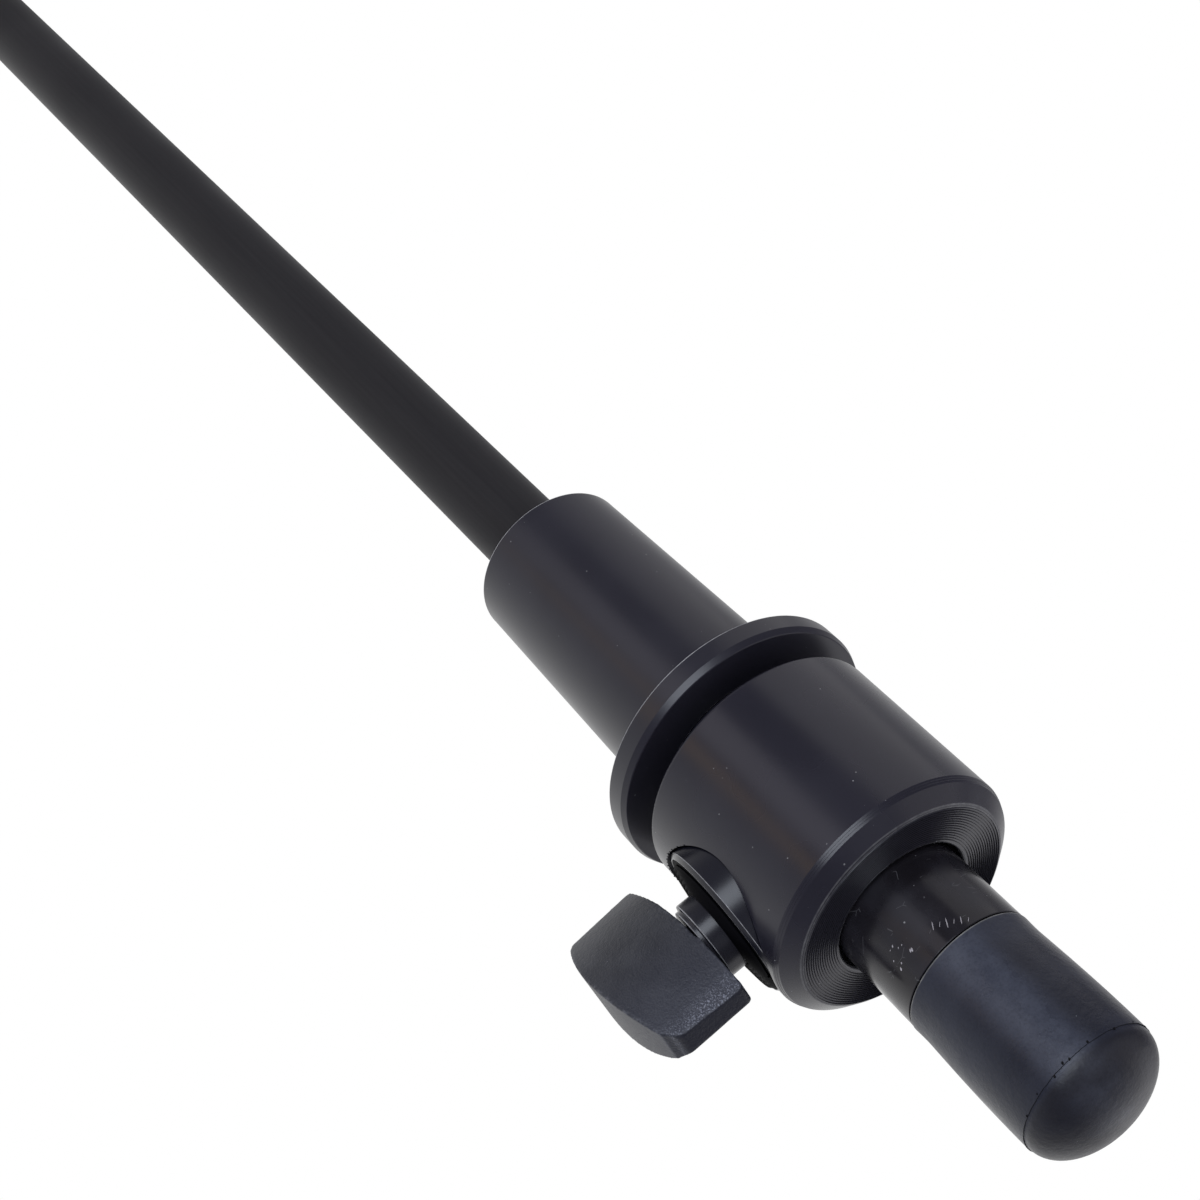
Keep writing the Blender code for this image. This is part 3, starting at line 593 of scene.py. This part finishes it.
def finish_tree(tree, geometry, given):
    real = out(tree, "GeometryNodeRealizeInstances", Geometry=geometry)
    painted = out(tree, "GeometryNodeSetMaterial", Geometry=real, Material=given["Material"])
    tree.links.new(painted, tree.nodes.new("NodeGroupOutput").inputs["Geometry"])
    return tree


def grow_piece(name, tree, material, body, slot, sharp, start=None, **values):
    """Runs a tree on a start mesh and adds the result, made a plain mesh, as a piece."""
    values["Material"] = material

    def grow(worker):
        modifier = worker.modifiers.new("grow", "NODES")
        modifier.node_group = tree
        for item in tree.interface.items_tree:
            if item.in_out == "INPUT" and item.name.replace(" ", "_") in values:
                modifier[item.identifier] = values[item.name.replace(" ", "_")]
        return []

    mesh = applied(name, start or bpy.data.meshes.new(name), grow)
    add_piece(name, mesh, None, body, None, sharp)


def swept_at_level(tree, path, section, given):
    """Sweeps a section along a path and lifts the bead to the level that the tree's input gives."""
    bead = out(tree, "GeometryNodeCurveToMesh", Curve=path, _1=section)
    lift = out(tree, "ShaderNodeCombineXYZ", _2=given["Level"])
    return finish_tree(tree, out(tree, "GeometryNodeTransform", Geometry=bead, Translation=lift), given)


def ring_tree():
    tree, given = new_tree(
        "turning_rings", Rings=12, First_radius=0.012, Step=0.0004, Level=0.0, Height=0.00002, Width=0.0002
    )
    row = out(tree, "GeometryNodeMeshLine", Count=given["Rings"], Offset=(0.0, 0.0, 0.0))
    circle = out(tree, "GeometryNodeCurvePrimitiveCircle", Resolution=160, Radius=1.0)
    number = out(tree, "GeometryNodeInputIndex")
    beyond = calculate(tree, "MULTIPLY", number, given["Step"])
    radius = calculate(tree, "ADD", beyond, given["First radius"])
    rings = out(tree, "GeometryNodeInstanceOnPoints", Points=row, Instance=circle, Scale=radius)
    rings = out(tree, "GeometryNodeRealizeInstances", Geometry=rings)
    round_section = out(tree, "GeometryNodeCurvePrimitiveCircle", Resolution=8, Radius=1.0)
    flat = out(tree, "ShaderNodeCombineXYZ", _0=given["Height"], _1=given["Width"], _2=1.0)
    section = out(tree, "GeometryNodeTransform", Geometry=round_section, Scale=flat)
    return swept_at_level(tree, rings, section, given)


ring_metal = turned_finish("ring_metal", (0.016, 0.0155, 0.022), 0.34, 0.6, 5.0, 2.0, dust=0.2)
grow_piece(
    "turning_rings", ring_tree(), ring_metal, "housing", "body_anodised", 60, Rings=15, First_radius=12.9 * MM,
    Step=0.42 * MM, Level=BODY_FRONT * MM, Height=0.026 * MM, Width=0.2 * MM,
)

# %% [markdown]
# ## Clamp nut
# The screw runs through a round insert in the side hole. Its wall is polished, its front edge has a bright
# chamfer, and inside the chamfer a dull low cone carries a spiral of fine ridges. The solid is turned along the
# screw's axis. The ridge follows a spiral rule, so a second tree winds it and sweeps a small section along.

# %% Clamp nut
nut_profile = [
    (4.3, 22.3), (12.5, 21.6), (12.9, 21.9), (13.6, 21.2), (13.6, 14.0), (8.7, 14.0), (8.7, 11.4), (6.3, 11.4),
    (6.3, 15.1), (4.3, 15.1),
]
turn_piece("turned_nut", nut_profile, black_nut, "housing", "clamp_nut", "nut_black_steel", corner=0.08,
           place=ALONG_X)
face_profile = [(4.3, 22.7), (6.4, 22.7), (11.5, 21.9), (12.8, 21.85), (12.8, 21.4), (4.3, 22.2)]
turn_piece("nut_face", face_profile, matt_face, "housing", None, "nut_black_steel", corner=0.08, place=ALONG_X)


def spiral_tree():
    tree, given = new_tree(
        "spiral_ridge", Turns=6.0, Start_radius=0.004, End_radius=0.004, Rise=0.01, Ridge=0.0003, From=0.0, Drop=0.0
    )
    spiral = out(tree, "GeometryNodeCurveSpiral", Resolution=64, Rotations=given["Turns"], _2=given["Start radius"],
                 _3=given["End radius"], Height=given["Rise"])
    section = out(tree, "GeometryNodeCurvePrimitiveCircle", Resolution=4, Radius=given["Ridge"])
    swept = out(tree, "GeometryNodeCurveToMesh", Curve=spiral, _1=section, _2=True)
    place = out(tree, "ShaderNodeCombineXYZ", _0=given["From"], _2=given["Drop"])
    laid = out(tree, "GeometryNodeTransform", Geometry=swept, Translation=place, Rotation=(0.0, math.pi / 2, 0.0))
    return finish_tree(tree, laid, given)


spiral = spiral_tree()
grow_piece(
    "nut_ridge", spiral, matt_face, "housing", "nut_black_steel", 50, Turns=6.0, Start_radius=12.0 * MM,
    End_radius=6.9 * MM, Rise=0.8 * MM, Ridge=0.42 * MM, From=22.05 * MM, Drop=SCREW_LEVEL * MM,
)

# %% [markdown]
# ## Chipped rim of the side hole
# The drill tore a few tiny chips out of the rim, near the flange. Geometry Nodes scatter a small cone at
# seeded places along that stretch of the rim. The rim itself is where the hole's cylinder meets the
# barrel's, so its points follow from the two radii.

# %% Rim chips
def rim_line(first, last, count, beyond):
    """A row of edges on the barrel, just outside the hole's rim, between two angles round the screw."""
    shape = bmesh.new()
    row = []
    for step in range(count + 1):
        angle = math.radians(first + (last - first) * step / count)
        sideways = (HOLE_RADIUS + beyond) * math.sin(angle)
        height = SCREW_LEVEL + (HOLE_RADIUS + beyond) * math.cos(angle)
        outward = math.sqrt(BODY_RADIUS**2 - sideways**2)
        row.append(shape.verts.new((outward * MM, sideways * MM, height * MM)))
    for one, two in zip(row, row[1:]):
        shape.edges.new((one, two))
    return finished_mesh("rim", shape)


def chip_tree():
    tree, given = new_tree("rim_chips", Count=12, Size=0.0004, Seed=3)
    line = out(tree, "GeometryNodeMeshToCurve", Mesh=given["Geometry"])
    spots = out(tree, "GeometryNodeCurveToPoints", Curve=line, Count=given["Count"])
    cone = out(tree, "GeometryNodeMeshCone", Vertices=6, _3=0.0, _4=0.5, Depth=1.3)
    size = add(tree, "FunctionNodeRandomValue", _2=0.25, _3=1.0, Seed=given["Seed"]).outputs[1]
    width = calculate(tree, "MULTIPLY", size, given["Size"])
    spin = add(tree, "FunctionNodeRandomValue", _0=(-0.5, -0.5, -0.5), _1=(0.5, 0.5, 0.5), Seed=given["Seed"])
    spin.data_type = "FLOAT_VECTOR"
    chips = out(tree, "GeometryNodeInstanceOnPoints", Points=spots, Instance=cone, Scale=width,
                Rotation=spin.outputs[0])
    return finish_tree(tree, chips, given)


chip_black = plain_material("chip_black", (0.004, 0.004, 0.005), 0.6, 0.2)
grow_piece(
    "rim_chips", chip_tree(), chip_black, "housing", "body_anodised", 30, rim_line(-12, 52, 30, 0.05), Count=15,
    Size=0.34 * MM, Seed=5,
)

# %% [markdown]
# ## Thumb screw
# The steel screw has a threaded shank, a wide collar and a short neck that ends in the wing. The turned
# body is the thread's core. The same spiral tree winds the M8 thread round it at its real pitch, so the
# thread shows when the screw is turned out.

# %% Thumb screw
THREAD_PITCH = 1.25
SHANK_FROM, SHANK_TO = 15.2, 22.4
stud_profile = [
    (0.0, 37.8), (3.5, 37.8), (3.5, 26.8), (6.1, 26.8), (6.1, 26.0), (6.85, 26.0), (6.85, 23.0), (3.6, 23.0),
    (3.6, 15.0), (2.5, 13.9), (2.5, 12.3), (0.0, 12.3),
]
turn_piece("turned_stud", stud_profile, black_stud, "thumb_screw", "thumb_stud", "stud_black_steel", corner=0.2,
           place=ALONG_X)
grow_piece(
    "screw_thread", spiral, black_stud, "thumb_screw", "stud_black_steel", 40,
    Turns=(SHANK_TO - SHANK_FROM) / THREAD_PITCH, Start_radius=3.6 * MM, End_radius=3.6 * MM,
    Rise=(SHANK_TO - SHANK_FROM) * MM, Ridge=0.4 * MM, From=SHANK_FROM * MM, Drop=SCREW_LEVEL * MM,
)

# %% [markdown]
# ## Wing
# The wing is moulded plastic: a paddle that is thick at its hub and thin at both ends. Its outline and its
# lens section are two prisms, and what they have in common is the paddle. A fine voxel remesh and a little
# smoothing round all edges alike, as a mould does, which a bevel on such curved edges can't do evenly.

# %% Wing shape
WING_BASE, COLLAR_TOP = 27.1, 26.0
HALF_SPAN, OUTER_HALF = 17.3, 16.5
HUB_THICKNESS, END_THICKNESS = 11.8, 3.1
WING_TURN, WING_LEAN, WING_OFFSET = math.radians(107.4), math.radians(4.4), 2.0


def wing_side(outer_corner):
    """Half of the outline as (outward, across) points in mm, from the hub to the crown."""
    outer = WING_BASE + 13.9
    points = [(WING_BASE, 6.1)]
    points += arc((WING_BASE + 1.8, HALF_SPAN - 1.2), (1.2, 1.2), 170, 100, 8)
    points += arc((outer - outer_corner, OUTER_HALF - outer_corner), (outer_corner,) * 2, 80, 25, 8)
    for step in range(1, 16):
        across = (OUTER_HALF - outer_corner * 0.6) * (1 - step / 16)
        points.append((outer + 2.8 * (1 - (across / OUTER_HALF) ** 2), across))
    return points


def prism_mesh(name, outline, depth, place):
    """A closed prism from an outline in mm."""
    shape = bmesh.new()
    face = shape.faces.new([shape.verts.new((one * MM, two * MM, -depth * MM / 2)) for one, two in outline])
    pushed = bmesh.ops.extrude_face_region(shape, geom=[face])["geom"]
    top = [item for item in pushed if isinstance(item, bmesh.types.BMVert)]
    bmesh.ops.translate(shape, verts=top, vec=(0.0, 0.0, depth * MM))
    bmesh.ops.recalc_face_normals(shape, faces=shape.faces)
    return finished_mesh(name, shape, place)


outline = wing_side(1.0) + [(WING_BASE + 16.7, 0.0)]
outline += [(outward, -across) for outward, across in reversed(wing_side(2.4))]
lens = []
for side in (1, -1):
    for step in range(46):
        across = side * (HALF_SPAN + 0.8) * (1 - 2 * step / 45)
        bulge = (HUB_THICKNESS - END_THICKNESS) * (1 - (across / HALF_SPAN) ** 2)
        lens.append((across, side * (END_THICKNESS + bulge) / 2))

pivot = Matrix.Translation((COLLAR_TOP * MM, 0.0, 0.0))
lean = pivot @ Matrix.Rotation(-WING_LEAN, 4, "Z") @ Matrix.Translation((0.0, WING_OFFSET * MM, 0.0))
lean = lean @ pivot.inverted()
turned_wing = Matrix.Translation((0.0, 0.0, SCREW_LEVEL * MM)) @ Matrix.Rotation(WING_TURN, 4, "X") @ lean
stand = Matrix(((0, 0, 1, WING_BASE * MM), (1, 0, 0, 0), (0, 1, 0, 0), (0, 0, 0, 1)))
wing_mesh = prism_mesh("moulded_wing", outline, 30.0, turned_wing)
lens_mesh = prism_mesh("lens", lens, 60.0, turned_wing @ stand)
socket_profile = [(0.0, 38.1), (3.8, 38.1), (3.8, 27.1), (6.7, 27.1), (6.7, 25.0), (0.0, 25.0)]
socket_mesh = turned_mesh("tang_socket", socket_profile, steps=64, corner=0.01, place=ALONG_X)


def mould_wing(worker):
    tools = [cut_with(worker, lens_mesh, "INTERSECT"), cut_with(worker, socket_mesh, "DIFFERENCE")]
    remesh = worker.modifiers.new("remesh", "REMESH")
    remesh.mode = "VOXEL"
    remesh.voxel_size = 0.22 * MM
    smooth = worker.modifiers.new("soft edges", "SMOOTH")
    smooth.factor = 0.5
    smooth.iterations = 5
    return tools


wing_mesh = applied("moulded_wing", wing_mesh, mould_wing)

# %% [markdown]
# ## Grained plastic
# The wing's mould was sandblasted, so the plastic has a fine grain that breaks the light into tiny points.
# Two noises give the grain's height, and a third one paints glints into the colour near the wing's end. The
# colour also carries a painted bluish sheen along one half, painted shade on the end face and a pale edge
# that is partly rubbing and partly a painted highlight. Values that the mesh stores tell the material where
# this end is, which no position in the room could do once the wing turns.

# %% Grained plastic
def grained_plastic():
    material = plain_material("grained_plastic", (0.028, 0.029, 0.034), 0.45)
    tree, place = open_recipe(material)
    fine = noise(tree, place, 3000.0, 3.0)
    coarse = noise(tree, place, 1300.0, 2.0)
    grain = calculate(tree, "ADD", fine, coarse)
    cloudy = effect(tree, clouds, Vector=place, Scale=160.0)
    base = blend_colour(tree, cloudy, (0.017, 0.0185, 0.026), (0.031, 0.033, 0.042))
    base = blend_colour(tree, narrow(tree, fine, 0.5, 0.2), base, (0.011, 0.012, 0.019))
    # Pale edges: partly rubbing, partly a painted highlight along the rims.
    rubbed_and_lit_edge = calculate(tree, "MULTIPLY", stored(tree, "edge"), narrow(tree, coarse, 0.42, 0.62))
    base = blend_colour(tree, spread(tree, rubbed_and_lit_edge, 0.0, 0.35), base, (0.17, 0.175, 0.20))
    along = stored(tree, "along")
    # Painted sheen: the half towards the wing's end is bluer and lighter.
    base = blend_colour(tree, spread(tree, along, 0.0, 0.5), base, (0.030, 0.034, 0.055))
    end_face = stored(tree, "end_face")
    # Painted shade: the end face is darker.
    base = blend_colour(tree, spread(tree, end_face, 0.0, 0.8), base, (0.006, 0.0065, 0.013))
    # Painted glints: pale points in the colour near the wing's end, off the end face.
    here = calculate(tree, "SUBTRACT", narrow(tree, along, 0.83, 1.0), end_face)
    glint_spots = narrow(tree, noise(tree, place, 4200.0, 1.0), 0.52, 0.72)
    painted_glints = calculate(tree, "MULTIPLY", glint_spots, here)
    painted_glints = calculate(tree, "MULTIPLY", painted_glints, spread(tree, cloudy, 0.35, 1.2))
    base = blend_colour(tree, painted_glints, base, (0.18, 0.19, 0.24))
    base = dusted(tree, base, place, 0.0009, 0.07, 0.13, (0.12, 0.125, 0.14))
    feed_shader(tree, base, spread(tree, fine, 0.36, 0.58), Normal=bump(tree, grain, 0.10 * MM, 0.9))
    return material


def mark_edges(mesh, flat_angle, sharp_angle):
    """Stores how much the surface bends, how far along the wing a vertex lies, and if it faces the end."""
    shape = bmesh.new()
    shape.from_mesh(mesh)
    shape.normal_update()
    layer = shape.verts.layers.float.new("edge")
    along = shape.verts.layers.float.new("along")
    end_face = shape.verts.layers.float.new("end_face")
    to_wing = turned_wing.inverted()
    for vertex in shape.verts:
        bend = max(vertex.normal.angle(link.other_vert(vertex).normal, 0.0) for link in vertex.link_edges)
        share = (math.degrees(bend) - flat_angle) / (sharp_angle - flat_angle)
        vertex[layer] = min(max(share, 0.0), 1.0)
        vertex[along] = min(max(-(to_wing @ vertex.co).y / (15.8 * MM), 0.0), 1.0)
        facing = to_wing.to_3x3() @ vertex.normal
        vertex[end_face] = min(max((-facing.y - 0.5) / 0.3, 0.0), 1.0)
    shape.to_mesh(mesh)
    shape.free()


mark_edges(wing_mesh, 6, 26)
add_piece("moulded_wing", wing_mesh, grained_plastic(), "thumb_screw", "wing_head", sharp=60)

# %% [markdown]
# ## Carbon rod and its cap
# The rod is a carbon tube, ground to size and left satin. Grinding leaves very fine lines round it, and the
# fibres show only as faint streaks along it. A plug closes the tube's upper end.

# %% Carbon rod
def ground_carbon():
    material = plain_material("ground_carbon", (0.020, 0.019, 0.021), 0.46, 0.09)
    tree, place = open_recipe(material)
    stretched = out(tree, "ShaderNodeMapping", Vector=place, Scale=(1.0, 1.0, 0.02))
    fibre = noise(tree, stretched, 1600.0, 3.0)
    base = blend_colour(tree, fibre, (0.018, 0.0172, 0.0192), (0.027, 0.0258, 0.0278))
    base = dusted(tree, base, place, 0.003, 0.06, 0.05, (0.10, 0.10, 0.10))
    cloudy = effect(tree, clouds, Vector=place, Scale=25.0)
    marks = effect(tree, lathe_marks, Vector=place, Lines_per_mm=4.0)
    feed_shader(tree, base, spread(tree, cloudy, 0.40, 0.50), Normal=bump(tree, marks, 1.5 * MICRON))
    return material


rod_profile = [(6.0, 390.1), (8.0, 390.1), (8.0, -40.9), (6.0, -40.9)]
turn_piece("carbon_tube", rod_profile, ground_carbon(), "rod_unit", "carbon_rod", "rod_carbon", corner=0.2)
cap_plastic = turned_finish("cap_plastic", (0.014, 0.014, 0.015), 0.5, 0.4, 3.0, 1.0, dust=0.05)
cap_profile = [(0.0, 392.4), (7.4, 392.4), (8.0, 391.8), (8.0, 390.4), (5.7, 390.4), (5.7, 378.4), (0.0, 378.4)]
turn_piece("tube_cap", cap_profile, cap_plastic, "rod_unit", "rod_cap", "cap_plastic", steps=96)

# %% [markdown]
# ## Ferrule
# The ferrule joins the rod to the rubber tip. It is glossy black and has been knocked about: there are
# hairlines, a smudged patch and a row of pale nicks where it meets the rubber.

# %% Ferrule
def scuffed_gloss():
    material = plain_material("scuffed_gloss", (0.0095, 0.009, 0.0095), 0.2, 0.40)
    tree, place = open_recipe(material)
    cloudy = effect(tree, clouds, Vector=place, Scale=130.0)
    base = blend_colour(tree, spread(tree, cloudy, 0.0, 0.7), (0.0085, 0.0075, 0.0095), (0.019, 0.0185, 0.025))
    lines = effect(tree, hairlines, Vector=place, Scale=240.0, Width=0.010)
    base = blend_colour(tree, spread(tree, lines, 0.0, 0.5), base, (0.11, 0.11, 0.12))
    base = dusted(tree, base, place, 0.0012, 0.12, 0.13, (0.20, 0.20, 0.21))
    long_way = out(tree, "ShaderNodeMapping", Vector=place, Scale=(1.0, 1.0, 0.12))
    smeared = calculate(tree, "MULTIPLY", cloudy, noise(tree, long_way, 520.0, 3.0))
    feed_shader(tree, base, spread(tree, smeared, 0.14, 0.58))
    return material


FERRULE_RADIUS = 11.35
ferrule_profile = [
    (0.0, -21.2), (5.7, -21.2), (5.7, -41.2), (10.85, -41.2), (FERRULE_RADIUS, -41.7), (FERRULE_RADIUS, -60.2),
    (8.0, -60.2), (8.0, -73.2), (7.5, -73.7), (4.3, -73.7), (4.3, -61.4), (0.0, -61.4),
]
turn_piece("turned_ferrule", ferrule_profile, scuffed_gloss(), "rod_unit", "tip_ferrule", "ferrule_gloss_black")

# %% [markdown]
# ## Nicks in the ferrule
# The nicks are tiny pale slivers that lie in the surface. A row of short strokes near the rubber and a
# loose patch beside it are placed by Geometry Nodes: two short rules give the places, and a seeded random
# value changes each sliver's size and lean.

# %% Nicks
def surface_spots(name, places, radius):
    """Single points on a turned side from (angle in degrees, height in mm) pairs."""
    mesh = bpy.data.meshes.new(name)
    turns = [(math.radians(angle), height) for angle, height in places]
    spots = [Vector((radius * math.cos(turn), radius * math.sin(turn), height)) * MM for turn, height in turns]
    mesh.from_pydata(spots, [], [])
    return mesh


def nick_tree():
    tree, given = new_tree("nicks", Length=0.0012, Width=0.0002, Seed=1)
    points = out(tree, "GeometryNodeMeshToPoints", Mesh=given["Geometry"])
    sliver = out(tree, "GeometryNodeMeshIcoSphere", Radius=0.5, Subdivisions=2)
    size = add(tree, "FunctionNodeRandomValue", _2=0.45, _3=1.1, Seed=given["Seed"]).outputs[1]
    long = calculate(tree, "MULTIPLY", size, given["Length"])
    wide = calculate(tree, "MULTIPLY", size, given["Width"])
    scale = out(tree, "ShaderNodeCombineXYZ", _0=wide, _1=wide, _2=long)
    slant = add(tree, "FunctionNodeRandomValue", _2=-0.85, _3=-0.4, Seed=given["Seed"]).outputs[1]
    lean_by = out(tree, "ShaderNodeCombineXYZ", _1=slant)
    slivers = out(tree, "GeometryNodeInstanceOnPoints", Points=points, Instance=sliver, Scale=scale,
                  Rotation=lean_by)
    return finish_tree(tree, slivers, given)


nicks = nick_tree()
pale_metal = plain_material("pale_metal", (0.36, 0.34, 0.37), 0.45)
row = [(84.0 + 4.4 * step, -56.6 - 0.55 * step) for step in range(6)]
patch = [(52.0 + 9.0 * math.sin(7.0 * step), -55.3 + 1.6 * math.cos(5.0 * step)) for step in range(9)]
for name, places, length, width, seed in (("row_nicks", row, 1.7, 0.15, 4), ("patch_nicks", patch, 0.7, 0.28, 9)):
    spots = surface_spots(name, places, FERRULE_RADIUS)
    grow_piece(name, nicks, pale_metal, "rod_unit", "ferrule_gloss_black", 60, spots, Length=length * MM,
               Width=width * MM, Seed=seed)

# %% [markdown]
# ## Rubber tip
# The tip is moulded rubber in two halves, so it has a fine raised line where the mould's halves met, a thin
# lip at its mouth and a domed end. The solid is turned, with a third number in the profile where the lip is
# painted pale, partly for rubbing and partly as a painted highlight. The colour also carries a painted
# reflection, a pale strip down the front. The mould line is a bead along a circle whose points a noise
# pushes about, because flash never runs perfectly even.

# %% Rubber
TIP_TOP = -60.4
SEAM_LEVEL = TIP_TOP - 24.5


def matt_rubber():
    material = plain_material("matt_rubber", (0.015, 0.016, 0.022), 0.38, 0.32)
    tree, place = open_recipe(material)
    cloudy = effect(tree, clouds, Vector=place, Scale=70.0)
    base = blend_colour(tree, cloudy, (0.011, 0.0125, 0.021), (0.024, 0.027, 0.042))
    # Painted reflection: a pale bluish strip down the front of the tip, patchy with noise.
    sideways, outward = (
        add(tree, "ShaderNodeVectorMath", "DOT_PRODUCT", _0=place, _1=axis).outputs["Value"]
        for axis in ((-0.996, 0.087, 0.0), (0.087, 0.996, 0.0))
    )
    off_line = calculate(tree, "ABSOLUTE", sideways)
    band = add(tree, "ShaderNodeMapRange", _0=off_line, _1=0.0055, _2=0.0015)
    band.interpolation_type = "SMOOTHSTEP"
    patchy_noise = noise(tree, place, 420.0, 4.0, 0.6)
    front = calculate(tree, "GREATER_THAN", outward, 0.0)
    painted_reflection = calculate(tree, "MULTIPLY", band.outputs[0], spread(tree, patchy_noise, 0.2, 1.1))
    painted_reflection = calculate(tree, "MULTIPLY", painted_reflection, front)
    base = blend_colour(tree, painted_reflection, base, (0.054, 0.060, 0.084))
    # Darker, in blotches, on the dome below the mould line; the dome is a little rougher too.
    height = add(tree, "ShaderNodeSeparateXYZ", _0=place).outputs[2]
    dome = narrow(tree, height, (SEAM_LEVEL - 0.2) * MM, (SEAM_LEVEL - 1.2) * MM)
    dome_blotches = spread(tree, noise(tree, place, 240.0, 4.0, 0.6), 0.2, 1.1)
    darker_dome = calculate(tree, "MULTIPLY", dome, dome_blotches)
    base = blend_colour(tree, darker_dome, base, (0.010, 0.0095, 0.0125))
    base = dusted(tree, base, place, 0.0013, 0.10, 0.10, (0.13, 0.14, 0.16))
    pores = narrow(tree, noise(tree, place, 2600.0, 3.0), 0.52, 0.25)
    base = blend_colour(tree, spread(tree, pores, 0.0, 0.3), base, (0.006, 0.0065, 0.010))
    # Pale edges, strongest on the lip: partly rubbing, partly a painted highlight.
    rubbed_and_lit_edge = calculate(tree, "MULTIPLY", stored(tree, "edge"), noise(tree, place, 500.0, 2.0))
    base = blend_colour(tree, rubbed_and_lit_edge, base, (0.65, 0.65, 0.62))
    both = calculate(tree, "MULTIPLY", cloudy, patchy_noise)
    duller = calculate(tree, "MULTIPLY_ADD", dome, 0.04, spread(tree, both, 0.24, 0.56))
    feed_shader(tree, base, duller, Normal=bump(tree, noise(tree, place, 900.0, 5.0, 0.65), 0.10 * MM, 0.8))
    return material


# The lip's third numbers set how pale it is painted, partly for rubbing and partly as a painted highlight.
lip = [(11.1, 0.0, 0.0), (11.27, 0.03, 0.7), (11.42, 0.18, 0.5), (11.46, 0.36, 0.0), (11.46, 0.5, 0.0)]
lip += [(11.43, 1.2, 0.0), (11.40, 2.0, 0.0)]
tip_profile = [(0.0, -84.5), (4.3, -84.5), (4.3, -74.0), (8.3, -74.0), (8.3, TIP_TOP)]
tip_profile += [(radius, TIP_TOP - down, pale_edge_share) for radius, down, pale_edge_share in lip]
for step in range(1, 13):
    down = 23.1 * step / 12
    tip_profile.append((11.3 + 0.5 * math.sin(math.pi / 2 * down / 18.0), TIP_TOP - 1.4 - down, 0.0))
seam_radius = tip_profile[-1][0]
dome_arc = arc((0.0, SEAM_LEVEL - 0.15), (seam_radius - 0.12, 6.45), 0, -90, 24)[:-1]
tip_profile += [(*point, 0.0) for point in dome_arc] + [(0.0, SEAM_LEVEL - 6.6)]
tip_mesh = turned_mesh("moulded_tip", tip_profile, corner=0.1)
tip_mesh.flip_normals()
add_piece("moulded_tip", tip_mesh, matt_rubber(), "tip", "rubber_tip")


def flash_tree():
    tree, given = new_tree("mould_flash", Radius=0.0118, Level=0.0, Bead=0.0001, Wander=0.0001)
    circle = out(tree, "GeometryNodeCurvePrimitiveCircle", Resolution=360, Radius=given["Radius"])
    place = out(tree, "GeometryNodeInputPosition")
    wobble = add(tree, "ShaderNodeTexNoise", Vector=place, Scale=600.0, Detail=3.0).outputs["Color"]
    centred = out(tree, "ShaderNodeVectorMath", "SUBTRACT", _0=wobble, _1=(0.5, 0.5, 0.5))
    push = out(tree, "ShaderNodeVectorMath", "SCALE", _0=centred, Scale=given["Wander"])
    pushed = out(tree, "GeometryNodeSetPosition", Geometry=circle, Offset=push)
    section = out(tree, "GeometryNodeCurvePrimitiveCircle", Resolution=5, Radius=given["Bead"])
    return swept_at_level(tree, pushed, section, given)


# A near-black finish for the mould line and the marks on it.
seam_dirt = turned_finish("seam_dirt", (0.004, 0.004, 0.005), 0.7, 0.15, 2.0, 2.0, dust=0.0)
seam_marks = [
    (33, 0.1), (52, 0.3), (69, -0.2), (79, 0.25), (84, 0.0), (101, 0.2), (124, -0.1), (146, 0.2), (205, 0.1),
    (262, -0.2), (318, 0.2),
]
seam_spots = surface_spots("seam", [(angle, SEAM_LEVEL + rise) for angle, rise in seam_marks], seam_radius)
grow_piece("seam_marks", nicks, seam_dirt, "tip", "tip_rubber", 70, seam_spots, Length=0.5 * MM, Width=0.34 * MM,
           Seed=11)
grow_piece("mould_flash", flash_tree(), seam_dirt, "tip", "tip_rubber", 70, Radius=(seam_radius - 0.01) * MM,
           Level=(SEAM_LEVEL - 0.05) * MM, Bead=0.045 * MM, Wander=0.25 * MM)

# %% [markdown]
# ## Pieces that show only when something moves
# Two nylon bushes guide the rod, a rubber ring stops it from rattling, a soft pad takes the screw's push,
# and a steel spike with its disc sits inside the rubber. Their solids keep their shape, and each gets a
# finish of its own. The upper bush and the spike can be seen, so they are turned afresh with more facets.

# %% Inner pieces
nylon = turned_finish("black_nylon", (0.022, 0.022, 0.024), 0.5, 0.45, 2.0, 2.0, 0.03)
natural_nylon = turned_finish("natural_nylon", (0.52, 0.50, 0.44), 0.5, 0.5, 2.0, 2.0, 0.02, 0.6)
ring_rubber = turned_finish("ring_rubber", (0.012, 0.012, 0.0125), 0.65, 0.35, 1.0, 2.0, 0.05)
steel = turned_finish("turned_steel", (0.40, 0.40, 0.41), 0.30, 0.5, 5.0, 2.0, 0.02, 0.7)
steel.node_tree.nodes["Principled BSDF"].inputs["Metallic"].default_value = 1.0
bush_profile = [(8.2, 55.3), (11.0, 55.3), (11.0, 45.3), (8.2, 45.3)]
turn_piece("turned_bush", bush_profile, nylon, "housing", "upper_bush", "bush_nylon", corner=0.3)
spike_profile = [(0.0, -61.7), (4.0, -61.7), (4.0, -76.7), (0.0, -82.7)]
turn_piece("turned_spike", spike_profile, steel, "rod_unit", "tip_spike", "spike_steel", steps=96)
for node, finish in (("lower_bush", nylon), ("rattle_ring", ring_rubber), ("pressure_pad", natural_nylon),
                     ("tip_disc", steel)):
    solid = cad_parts[node]
    for slot in solid.material_slots:
        slot.material = finish
    print(node, "painted", finish.name)

# %% [markdown]
# ## Size
# The looks must not outgrow the solid model, so both boxes are printed.

# %% Sizes
dressed_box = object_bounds()
for label, low, high in (("solid", *cad_box), ("dressed", *dressed_box)):
    print(label, [round(c * 1000, 2) for c in low], [round(c * 1000, 2) for c in high])
